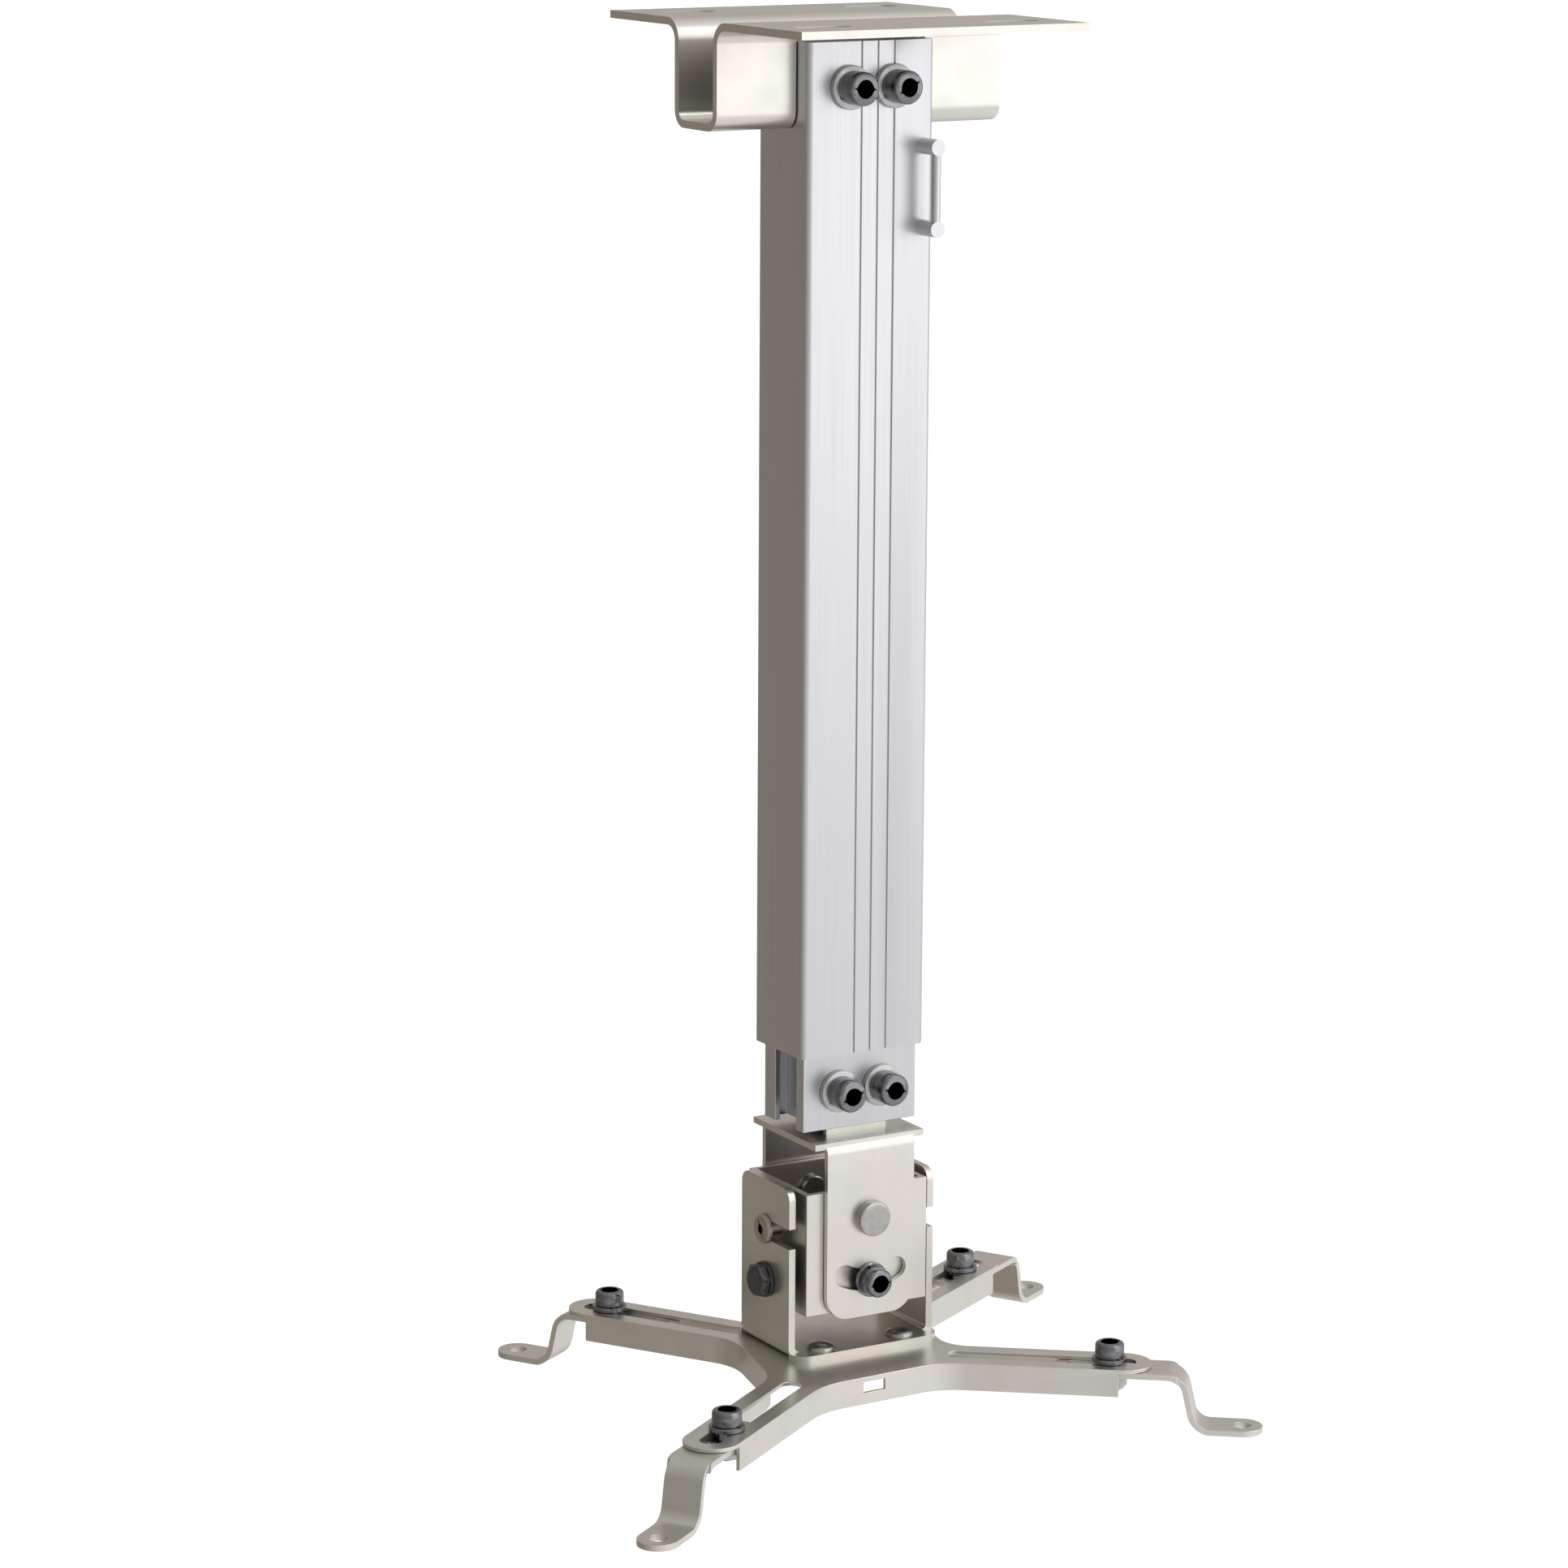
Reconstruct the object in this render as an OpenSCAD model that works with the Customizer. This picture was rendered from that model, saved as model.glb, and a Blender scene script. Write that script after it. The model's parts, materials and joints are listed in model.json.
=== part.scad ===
// Projector ceiling drop mount: ceiling bracket, telescopic post,
// two-way tilting head, four-arm spider and four sliding feet.
// Lengths are in mm. The origin lies on the ceiling face, midway between the two front slots. +Z is up.

/* [Ceiling bracket] */
// Length of the bracket along X
bracket_len = 101; // [80:1:140]
// Depth of the bracket over both flanges
bracket_depth = 117; // [100:1:160]
// Height of the bracket
bracket_h = 33; // [28:1:45]
// Sheet thickness of the bracket
bracket_t = 2.4; // [1.5:0.1:3]
// Outer radius of the flange bends
flange_bend_r = 7; // [4:0.5:8]
// Outer radius of the bottom bends
bottom_bend_r = 5.5; // [4:0.5:8]
// How far the front wall stands behind the front of the post
front_wall_set = 6.5; // [4:0.5:10]
// Gap around the post in the bracket's front wall
cut_side = 0.4; // [0.3:0.1:1]
// Distance from the bracket's ends to its ceiling slots
slot_end_land = 8; // [5:0.5:14]
// Distance from the bracket's front and back edges to its slots' middles
slot_edge = 17.5; // [10:0.5:22]
// Length of a ceiling slot between its end centres
slot_run = 12; // [6:1:16]
// Width of a ceiling slot
slot_w = 7; // [5:0.5:9]

/* [Outer post] */
// Width of the outer post
post_w = 45; // [40:1:60]
// Depth of the outer post
post_d = 30; // [26:1:40]
// Depth of the post's top end under the ceiling face
post_top = 6.5; // [5:0.5:10]
// Length of the outer post
post_len = 317; // [250:1:400]
// Wall at the front of the outer post
post_front_wall = 1.7; // [1.5:0.1:3]
// Wall at the sides of the outer post
post_side_wall = 1.5; // [1.2:0.1:3]
// Wall at the back of the outer post
post_back_wall = 3.4; // [2:0.1:5]
// Corner radius of the outer post
post_corner_r = 2; // [1:0.5:4]
// Width of a decorative groove
groove_w = 0.8; // [0.5:0.1:1.5]
// Depth of a decorative groove
groove_depth = 0.5; // [0.3:0.1:0.8]
// Pitch of the three grooves
groove_pitch = 5.8; // [3:0.1:8]
// Offset of the middle groove from the middle of the post
groove_shift = 2.2; // [-6:0.1:6]

/* [Cable loop] */
// Distance of the loop from the middle of the post
loop_x = 19; // [10:0.5:19]
// Depth of the loop's upper foot under the ceiling face
loop_top = 39; // [35:1:80]
// Distance between the loop's feet
loop_span = 25; // [15:1:40]
// How far the loop stands out
loop_reach = 8.5; // [6:0.5:14]
// Diameter of the loop's bar
loop_bar_d = 3; // [2:0.5:4]
// Diameter of the loop's feet
loop_foot_d = 5; // [3.5:0.5:7]

/* [Inner post] */
// Sliding gap between the two posts
post_gap = 0.35; // [0.3:0.05:0.6]
// Depth of the inner post's top end under the ceiling face
inner_top = 44; // [38:1:80]
// How far the closed inner post shows under the outer post
inner_show = 24.5; // [20:0.5:40]
// Wall thickness of the inner post
inner_wall = 1.8; // [1.5:0.1:2.5]
// Width of the open side channel
side_open_w = 13; // [8:0.5:16]
// Width of the lip in front of the side channel
side_front_lip = 4.6; // [3:0.1:6]
// Distance between the two webs inside
web_span = 25; // [22:0.5:30]

/* [Bolts] */
// Shank diameter of the bolts
bolt_d = 6; // [4:0.5:8]
// Diameter of a socket head
head_d = 10.4; // [8:0.1:13]
// Height of a socket head
head_h = 7.6; // [5:0.1:9]
// Width of the hexagon socket across corners
socket_d = 5.6; // [4:0.1:7]
// Depth of the hexagon socket
socket_depth = 3; // [2:0.5:4]
// Diameter of a washer
washer_d = 13.6; // [11:0.1:18]
// Thickness of a washer
washer_t = 1.8; // [1:0.1:2.5]
// Diameter of a lower socket head, on the roll lock bolts and the feet
low_head_d = 9.4; // [8:0.1:12]
// Height of a lower socket head
low_head_h = 5; // [4.5:0.1:8]
// Diameter of the collar under a lower socket head
collar_d = 11.2; // [9:0.1:16]
// Thickness of the collar
collar_t = 1.4; // [1:0.1:2.5]
// Width of a nut across corners
nut_d = 11.5; // [9:0.1:15]
// Thickness of a nut
nut_h = 5; // [4:0.1:7]
// Length of shank that shows behind a nut
bolt_tail = 2; // [1:0.5:4]
// Spacing of the bolts in a pair
bolt_pitch = 15.6; // [14:0.1:22]
// Depth of the upper bolts under the ceiling face
upper_bolt_depth = 20.3; // [18:0.1:24]
// Height of the lower bolts over the inner post's end
lower_bolt_rise = 12.3; // [9:0.1:14]
// Height of a seat washer made in one with its screw, on the pitch pivot
pitch_washer_t = 1; // [0.8:0.1:2]
// Diameter of the pitch pivot's washer
pitch_washer_d = 11.6; // [11.5:0.1:16]
// Height of the pitch pivot's hexagon head
pitch_head_h = 3.2; // [2.5:0.1:6]
// Clearance of a bolt in its hole, on the diameter
hole_clear = 0.6; // [0.2:0.1:1]

/* [Head yoke] */
// Gap between the inner post and the yoke's plate
yoke_drop = 2.5; // [2:0.5:8]
// Sheet thickness of the yoke
yoke_t = 2; // [1.5:0.1:3]
// Width of the yoke's plate
yoke_plate_w = 40; // [36:1:44]
// Depth of the yoke's plate
yoke_plate_d = 39; // [36:1:46]
// Distance over the outsides of the yoke's ears
yoke_span = 41; // [38:0.5:48]
// Width of an ear
ear_w = 32; // [26:1:36]
// Height of the yoke over its ears
yoke_h = 58.5; // [50:0.5:60]
// Radius of an ear's lower corners
ear_corner_r = 8; // [4:0.5:12]
// Outer radius of the yoke's bends
yoke_bend_r = 4; // [3:0.5:6]
// Width of the yoke's upright tab
tab_w = 22; // [20:0.5:22]
// Height of the tab over the yoke's plate
tab_h = 22; // [18:0.5:30]

/* [Tilting block] */
// Depth of the roll pivot under the yoke's plate
roll_pivot_drop = 26; // [22:0.5:30]
// Distance from the roll pivot down to its lock bolts
roll_lock_r = 20.5; // [18:0.5:24]
// Reach of the curved slot to each side of its middle, in degrees
roll_slot_reach = 28; // [14:1:32]
// Gap between the block and a cradle wall
block_side_gap = 2.2; // [1:0.1:3]
// Height of the block
block_h = 40; // [34:0.5:42]
// Height of the block over the roll pivot
block_rise = 9.5; // [6:0.5:11]
// Wall of the block
block_t = 2; // [1.5:0.1:3]
// Diameter of a roll rivet's disc head
disc_d = 11.4; // [10:0.1:16]
// Height of the disc head
disc_h = 3.2; // [2:0.1:4]
// Diameter of a threaded bush on the block's inner faces
bush_d = 10; // [9:0.5:12]
// Height of a threaded bush
bush_h = 3.5; // [2.5:0.5:5]
// Diameter of a roll rivet's inner head
tail_d = 9; // [7.5:0.5:11]
// Height of a roll rivet's inner head
tail_h = 1.6; // [1:0.1:2.5]
// Diameter of the smaller bushes behind the lock screws
lock_bush_d = 9; // [7.5:0.5:11]
// Gap between a turning face and its neighbour
face_gap = 0.3; // [0.2:0.05:0.5]
// Radial clearance of a turning pin, on the diameter
pin_clear = 0.16; // [0.1:0.02:0.2]

/* [Base cradle] */
// Distance over the outsides of the cradle's walls
cradle_w = 53.5; // [50:0.5:58]
// Depth of a cradle wall
cradle_wall_d = 30; // [26:0.5:32]
// Depth of the cradle's floor
cradle_floor_d = 42; // [36:0.5:48]
// Sheet thickness of the cradle
cradle_t = 2.3; // [1.8:0.1:3]
// Space between the block and the cradle's floor
floor_gap = 12.2; // [10:0.1:16]
// Height of the cradle
cradle_h = 56; // [50:0.5:60]
// Outer radius of the cradle's bends
cradle_bend_r = 4; // [3:0.5:6]
// Radius of a wall's upper corners
cradle_corner_r = 4; // [3:0.5:12]
// Radius of the floor's corners
floor_corner_r = 5.5; // [3:0.5:7]
// Height of the pitch pivot over the cradle's underside
pitch_pivot_rise = 23; // [18:0.5:25]
// Height of the lock screws over the pitch pivot
pitch_lock_r = 16.8; // [15:0.1:20]
// Width of the open slot in a cradle wall
pitch_slot_w = 6.6; // [5.5:0.1:8]
// How far the open slot runs behind the lock screw
pitch_slot_run = 4; // [3:0.1:6]
// Diameter of a lock screw's shank
lock_d = 5; // [4:0.5:6]
// Diameter of a lock screw's flat head
lock_head_d = 9.6; // [8:0.1:12]
// Height of a lock screw's flat head
lock_head_h = 1.8; // [1:0.1:3]
// Diameter of a rivet's head
rivet_head_d = 9; // [7:0.5:11]
// Height of a rivet's head
rivet_head_h = 1.8; // [1:0.1:3]
// Diameter of a rivet's lower head
rivet_tail_d = 7; // [5:0.5:9]
// Diameter of a rivet's shank
rivet_d = 4; // [3:0.5:5]
// Distance from the cradle's sides to the rivets
rivet_side = 12; // [8:0.5:14]
// Distance from the front and back of the cradle's floor to the rivets
rivet_edge = 6.5; // [6:0.5:8]

/* [Arm spider] */
// Width of an arm
arm_w = 18; // [16:0.1:22]
// Sheet thickness of the spider
arm_t = 1.3; // [1:0.1:2]
// Height of the spider's flanges
flange_h = 9; // [6:0.5:12]
// Distance along each arm at which the hub's edges start
hub_reach = 15; // [10:0.5:20]
// Length over which the hub's inner corners are rounded
hub_round = 8; // [6:1:12]
// Width of an arm's slot
arm_slot_w = 6.8; // [6.5:0.1:8]
// Distance from an arm's root to its slot
arm_slot_start = 16; // [14:0.5:30]
// Land between a slot and the arm's end
arm_slot_land = 5; // [4:0.5:8]
// Distance of the left arm's root from the middle along X
left_root_x = 15.5; // [12:0.5:20]
// Distance of the left arm's root from the middle along Y
left_root_y = 3.5; // [0:0.5:10]
// Distance of the back right arm's root from the middle along X
back_right_root_x = 15; // [12:0.5:20]
// Distance of the back right arm's root from the middle along Y
back_right_root_y = 7; // [0:0.5:12]
// Distance of the front left arm's root from the middle along X
front_left_root_x = 22.5; // [16:0.5:26]
// Distance of the front left arm's root from the middle along Y
front_left_root_y = 25.5; // [18:0.5:28]
// Distance of the right arm's root from the middle along X
right_root_x = 8; // [6:1:16]
// Distance of the right arm's root from the middle along Y
right_root_y = 24; // [18:1:28]
// Width of the small window in the hub's front flange
hub_window_w = 8; // [4:0.5:10]
// Rim left between the small window and the plate
hub_window_rim = 0.4; // [0.2:0.1:1]
// Height of the small window
hub_window_h = 3.5; // [2:0.5:5]
// Distance of the small window from the middle
hub_window_x = 10.5; // [0:0.5:12]
// Direction of the left arm in degrees
left_angle = 122; // [110:1:135]
// Length of the left arm from its root
left_len = 80.5; // [60:0.5:100]
// Place of the left foot's bolt along its arm
left_bolt = 66.5; // [45:0.5:90]
// Direction of the front left arm in degrees
front_left_angle = 214.5; // [205:0.5:225]
// Length of the front left arm from its root
front_left_len = 85; // [60:0.5:100]
// Place of the front left foot's bolt along its arm
front_left_bolt = 65.5; // [45:0.5:90]
// Direction of the right arm in degrees
right_angle = 322.5; // [315:0.5:335]
// Length of the right arm from its root
right_len = 81.5; // [60:0.5:100]
// Place of the right foot's bolt along its arm
right_bolt = 68; // [45:0.5:90]
// Direction of the back right arm in degrees
back_right_angle = 30; // [15:1:40]
// Length of the back right arm from its root
back_right_len = 83.5; // [60:0.5:100]
// Place of the back right foot's bolt along its arm
back_right_bolt = 66.5; // [45:0.5:90]

/* [Feet] */
// Sliding gap between a foot and its arm
foot_gap = 0.3; // [0.2:0.05:0.5]
// Sheet thickness of a foot
foot_t = 2; // [1.5:0.1:2.5]
// Width of a foot's leg and pad
leg_w = 13; // [10:0.1:14]
// Length of a foot's straight part inside its arm
foot_straight = 38; // [34:0.5:44]
// Drop from a foot's straight part to its pad
foot_drop = 17.9; // [14:0.1:24]
// Outer radius of a foot's bends
foot_bend_r = 6; // [4:0.5:7]
// Distance from the start of the bend to the pad's hole
pad_reach = 22; // [17:0.5:30]
// Diameter of a pad's hole
pad_hole_d = 5.6; // [4:0.1:6.5]
// Width of a foot's slot
foot_slot_w = 6.6; // [6.4:0.1:7]
// Distance from the bend to the slot's first end centre
foot_slot_near = 12.5; // [8:0.5:13]
// Distance from the bend to the slot's last end centre
foot_slot_far = 31.4; // [28:0.1:34]
// Distance from the bend to the bolt on the left foot
left_bend = 13; // [13:0.5:31]
// Distance from the bend to the bolt on the front left foot
front_left_bend = 25; // [13:0.5:31]
// Distance from the bend to the bolt on the right foot
right_bend = 20.5; // [13:0.5:31]
// Distance from the bend to the bolt on the back right foot
back_right_bend = 26.5; // [13:0.5:31]

/* [View] */
// Sub-part to draw

/* [Hidden] */
$fn = 48;
// Overrun of a cut past the face it opens
over = 1;
// Gap at flat faces that slide on each other
slide_gap = 0.1;
// Steps in a rounded corner of the hub and in half of an arm's round end
hub_steps = 8;

// Ceiling bracket
post_front = -post_d / 2;
post_back = post_d / 2;
wall_front_in = post_front + front_wall_set + bracket_t;
wall_back_in = post_back;
flange_front_end = wall_front_in - flange_bend_r;
flange_back_end = wall_back_in + flange_bend_r;
cut_top = post_top - cut_side;
slot_x = bracket_len / 2 - slot_end_land - slot_w / 2 - slot_run / 2;
slot_y = bracket_depth / 2 - slot_edge;

// Posts
post_bottom = post_top + post_len;
inner_bottom = post_bottom + inner_show;
groove_list = [-groove_pitch, 0, groove_pitch];
cavity_w = post_w - 2 * post_side_wall;
cavity_front = post_front + post_front_wall;
cavity_back = post_back - post_back_wall;
inner_w = cavity_w - 2 * post_gap;
inner_front = cavity_front + post_gap;
inner_back = cavity_back - post_gap;
inner_len = inner_bottom - inner_top;
upper_z = -upper_bolt_depth;
lower_z = -inner_bottom + lower_bolt_rise;
hole_d = bolt_d + hole_clear;
side_open_front = inner_front + side_front_lip;
web_out = web_span / 2 + inner_wall / 2;
web_in = web_span / 2 - inner_wall / 2;

// Head
yoke_top = inner_bottom + yoke_drop;
roll_z = -yoke_top - roll_pivot_drop;
ear_in = yoke_span / 2 - yoke_t;
ear_out = yoke_span / 2;
tab_front = inner_front + inner_wall;
block_top = roll_z + block_rise;
block_out = ear_in - face_gap;
roll_lock_z = roll_z - roll_lock_r;
roll_slot_d = bolt_d + 2 * hole_clear;
roll_slot_in = roll_lock_r - roll_slot_d / 2;
roll_slot_out = roll_lock_r + roll_slot_d / 2;
shank_fit_d = bolt_d + pin_clear;

// Base
block_w = cradle_w - 2 * cradle_t - 2 * block_side_gap;
rivet_x = cradle_w / 2 - rivet_side;
rivet_y = cradle_floor_d / 2 - rivet_edge;
base_z = block_top - block_h - floor_gap - cradle_t;
cradle_wall_in = cradle_w / 2 - cradle_t;
cradle_top = base_z + cradle_h;
pitch_z = base_z + pitch_pivot_rise;
pitch_lock_z = pitch_z + pitch_lock_r;

// Arms: root point, direction, length, bolt place, distance from bend to bolt
arm_list = [
  [[-left_root_x, left_root_y], left_angle, left_len, left_bolt, left_bend],
  [[-front_left_root_x, -front_left_root_y], front_left_angle, front_left_len, front_left_bolt, front_left_bend],
  [[right_root_x, -right_root_y], right_angle, right_len, right_bolt, right_bend],
  [[back_right_root_x, back_right_root_y], back_right_angle, back_right_len, back_right_bolt, back_right_bend]];
foot_w = arm_w - 2 * arm_t - 2 * foot_gap;
foot_top = -arm_t - slide_gap;
foot_in = foot_bend_r - foot_t;
foot_shoulder = foot_bend_r / 2;

// Rounded rectangle about the origin
module round_rect(w, d, r) {
  square([w - 2 * r, d], center = true);
  square([w, d - 2 * r], center = true);
  for (sx = [-1, 1]) for (sy = [-1, 1])
    translate([sx * (w / 2 - r), sy * (d / 2 - r)]) circle(r = r);
}

// Slot about the origin with its run along X
module slot_shape(run, w) {
  square([run, w], center = true);
  for (sx = [-1, 1]) translate([sx * run / 2, 0]) circle(d = w);
}

// Quarter of a ring in the quadrant given by two signs
module quarter_ring(r, t, sx, sy) {
  intersection() {
    difference() {
      circle(r = r);
      circle(r = r - t);
    }
    translate([sx > 0 ? 0 : -r, sy > 0 ? 0 : -r]) square([r, r]);
  }
}

// Stands a drawing of the YZ plane up and extrudes it along X, centred
module along_x(len) {
  translate([-len / 2, 0, 0]) rotate([90, 0, 90]) linear_extrude(len) children();
}

// Cylinder along Y from y0 to y1
module rod_y(d, y0, y1, facets = 0) {
  translate([0, y1, 0]) rotate([90, 0, 0])
    if (facets > 0) cylinder(d = d, h = y1 - y0, $fn = facets);
    else cylinder(d = d, h = y1 - y0);
}

// Socket cap screw along Z with its seat at the origin and its head up, of diameter d and height h
module socket_screw(shank_len, d = head_d, h = head_h) {
  difference() {
    cylinder(d = d, h = h);
    translate([0, 0, h - socket_depth]) cylinder(d = socket_d, h = socket_depth + over, $fn = 6);
  }
  translate([0, 0, -shank_len]) cylinder(d = bolt_d, h = shank_len + (h - socket_depth) / 2);
}

// Lower socket screw along Z with a collar under its head; the collar's face is at the origin
module collar_screw(shank_len) {
  cylinder(d = collar_d, h = collar_t);
  translate([0, 0, collar_t / 2])
    socket_screw(collar_t / 2 + shank_len, low_head_d, collar_t / 2 + low_head_h);
}

// Ring along Z from the origin up
module ring(d, hole, h, facets = 0) {
  difference() {
    if (facets > 0) cylinder(d = d, h = h, $fn = facets);
    else cylinder(d = d, h = h);
    translate([0, 0, -over]) cylinder(d = hole, h = h + 2 * over);
  }
}

// Turns a screw from +Z so that its head looks to the front
module to_front() {
  rotate([90, 0, 0]) children();
}

// Profile of the bracket in the YZ plane
module bracket_profile() {
  half = bracket_depth / 2;
  translate([-half, -bracket_t]) square([half + flange_front_end, bracket_t]);
  translate([flange_back_end, -bracket_t]) square([half - flange_back_end, bracket_t]);
  translate([flange_front_end, -flange_bend_r]) quarter_ring(flange_bend_r, bracket_t, 1, 1);
  translate([flange_back_end, -flange_bend_r]) quarter_ring(flange_bend_r, bracket_t, -1, 1);
  wall_h = bracket_h - flange_bend_r - bottom_bend_r;
  translate([wall_front_in - bracket_t, -flange_bend_r - wall_h]) square([bracket_t, wall_h]);
  translate([wall_back_in, -flange_bend_r - wall_h]) square([bracket_t, wall_h]);
  bend_front = wall_front_in - bracket_t + bottom_bend_r;
  bend_back = wall_back_in + bracket_t - bottom_bend_r;
  translate([bend_front, -bracket_h + bottom_bend_r]) quarter_ring(bottom_bend_r, bracket_t, -1, -1);
  translate([bend_back, -bracket_h + bottom_bend_r]) quarter_ring(bottom_bend_r, bracket_t, 1, -1);
  translate([bend_front, -bracket_h]) square([bend_back - bend_front, bracket_t]);
}

module ceiling_bracket() {
  color("gainsboro")
  difference() {
    along_x(bracket_len) bracket_profile();
    // Opening for the post
    translate([-post_w / 2 - cut_side, -post_d, -bracket_h - over])
      cube([post_w + 2 * cut_side, post_d + wall_back_in, bracket_h + over - cut_top]);
    // Ceiling slots
    for (sx = [-1, 1]) for (sy = [-1, 1])
      translate([sx * slot_x, sy * slot_y, -bracket_t - over])
        linear_extrude(bracket_t + 2 * over) slot_shape(slot_run, slot_w);
    // Bolt holes in the back wall
    for (sx = [-1, 1])
      translate([sx * bolt_pitch / 2, 0, upper_z])
        rod_y(hole_d, wall_back_in - over, wall_back_in + bracket_t + over);
  }
}

module outer_post() {
  color("silver")
  difference() {
    translate([0, 0, -post_bottom]) linear_extrude(post_len) difference() {
      round_rect(post_w, post_d, post_corner_r);
      translate([-cavity_w / 2, cavity_front]) square([cavity_w, cavity_back - cavity_front]);
      for (g = groove_list)
        translate([groove_shift + g - groove_w / 2, post_front - over])
          square([groove_w, groove_depth + over]);
    }
    for (sx = [-1, 1])
      translate([sx * bolt_pitch / 2, 0, upper_z])
        rod_y(hole_d, post_front - over, post_back + over);
  }
}

module cable_loop() {
  color("silver")
  translate([loop_x, post_front, -loop_top]) {
    for (dz = [0, loop_span]) {
      translate([0, 0, -dz]) rod_y(loop_foot_d, -loop_reach, 0);
    }
    translate([0, -loop_reach + loop_bar_d / 2, -loop_span]) cylinder(d = loop_bar_d, h = loop_span);
  }
}

// Upper bolts, washers and nuts
module upper_bolt(side) {
  color("dimgray")
  translate([side * bolt_pitch / 2, post_front - washer_t, upper_z])
    to_front() socket_screw(washer_t + post_d + bracket_t + nut_h + bolt_tail);
}

module upper_washer(side) {
  color("gray")
  translate([side * bolt_pitch / 2, post_front, upper_z]) to_front() ring(washer_d, hole_d, washer_t);
}

module upper_nut(side) {
  color("gray")
  translate([side * bolt_pitch / 2, wall_back_in + bracket_t + nut_h, upper_z])
    to_front() ring(nut_d, hole_d, nut_h, 6);
}

module inner_post() {
  color("silver")
  difference() {
    translate([0, 0, -inner_bottom]) linear_extrude(inner_len) difference() {
      translate([-inner_w / 2, inner_front]) square([inner_w, inner_back - inner_front]);
      inner_d = inner_back - inner_front - 2 * inner_wall;
      translate([-web_in, inner_front + inner_wall]) square([2 * web_in, inner_d]);
      for (sx = [-1, 1]) {
        side_w = inner_w / 2 - inner_wall - web_out;
        translate([sx > 0 ? web_out : -web_out - side_w, inner_front + inner_wall])
          square([side_w, inner_d]);
        translate([sx > 0 ? web_out + side_w / 2 : -inner_w / 2 - over, side_open_front])
          square([inner_w / 2 - web_out - side_w / 2 + over, side_open_w]);
      }
    }
    for (sx = [-1, 1])
      translate([sx * bolt_pitch / 2, 0, lower_z])
        rod_y(hole_d, inner_front - over, inner_back + over);
  }
}

// Lower bolts, washers and nuts
module lower_bolt(side) {
  color("dimgray")
  translate([side * bolt_pitch / 2, inner_front - washer_t, lower_z])
    to_front() socket_screw(washer_t + inner_back - inner_front + nut_h + bolt_tail);
}

module lower_washer(side) {
  color("gray")
  translate([side * bolt_pitch / 2, inner_front, lower_z]) to_front() ring(washer_d, hole_d, washer_t);
}

module lower_nut(side) {
  color("gray")
  translate([side * bolt_pitch / 2, inner_back + nut_h, lower_z])
    to_front() ring(nut_d, hole_d, nut_h, 6);
}

// Profile of the yoke in the YZ plane, from its top down
module yoke_profile() {
  flat = ear_out - yoke_bend_r;
  translate([-flat, -yoke_t]) square([2 * flat, yoke_t]);
  for (sy = [-1, 1]) {
    translate([sy * flat, -yoke_bend_r]) quarter_ring(yoke_bend_r, yoke_t, sy, 1);
    translate([sy > 0 ? ear_in : -ear_out, -yoke_h]) square([yoke_t, yoke_h - yoke_bend_r]);
  }
}

// Outline of an ear in the XZ plane, from the yoke's top down
module ear_outline() {
  translate([-ear_w / 2, -yoke_h + ear_corner_r]) square([ear_w, yoke_h]);
  translate([-ear_w / 2 + ear_corner_r, -yoke_h]) square([ear_w - 2 * ear_corner_r, yoke_h]);
  for (sx = [-1, 1])
    translate([sx * (ear_w / 2 - ear_corner_r), -yoke_h + ear_corner_r]) circle(r = ear_corner_r);
}

// Curved slot about the roll pivot in the XZ plane
module roll_slot_shape() {
  ends = [for (a = [-roll_slot_reach, roll_slot_reach])
    roll_lock_r * [sin(a), -cos(a)]];
  wedge = [for (a = [-roll_slot_reach, roll_slot_reach])
    yoke_h * [sin(a), -cos(a)]];
  intersection() {
    difference() {
      circle(r = roll_slot_out);
      circle(r = roll_slot_in);
    }
    polygon([[0, 0], wedge[0], wedge[1]]);
  }
  for (p = ends) translate(p) circle(d = roll_slot_d);
}

module head_yoke() {
  color("lightgray")
  difference() {
    union() {
      translate([0, 0, -yoke_top]) {
        intersection() {
          along_x(ear_w) yoke_profile();
          translate([0, yoke_span, 0]) rotate([90, 0, 0]) linear_extrude(2 * yoke_span) ear_outline();
        }
        translate([-yoke_plate_w / 2, -yoke_plate_d / 2, -yoke_t])
          cube([yoke_plate_w, yoke_plate_d, yoke_t]);
        translate([-tab_w / 2, tab_front, -yoke_t / 2]) cube([tab_w, yoke_t, tab_h + yoke_t / 2]);
      }
    }
    for (sx = [-1, 1])
      translate([sx * bolt_pitch / 2, 0, lower_z]) rod_y(hole_d, tab_front - over, tab_front + yoke_t + over);
    translate([0, 0, roll_z]) rod_y(shank_fit_d, -yoke_span, yoke_span);
    translate([0, yoke_span, roll_z]) rotate([90, 0, 0]) linear_extrude(2 * yoke_span) roll_slot_shape();
  }
}

// Disc rivet that carries the block on the front ear; side 1 puts it on the back ear
module roll_rivet(side) {
  tail_in = block_out - block_t - face_gap;
  color("lightgray")
  translate([0, 0, roll_z]) rotate([0, 0, side > 0 ? 180 : 0]) {
    rod_y(disc_d, -ear_out - disc_h, -ear_out);
    rod_y(bolt_d, -ear_out - disc_h / 2, -tail_in + tail_h);
    rod_y(tail_d, -tail_in, -tail_in + tail_h);
  }
}

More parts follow.
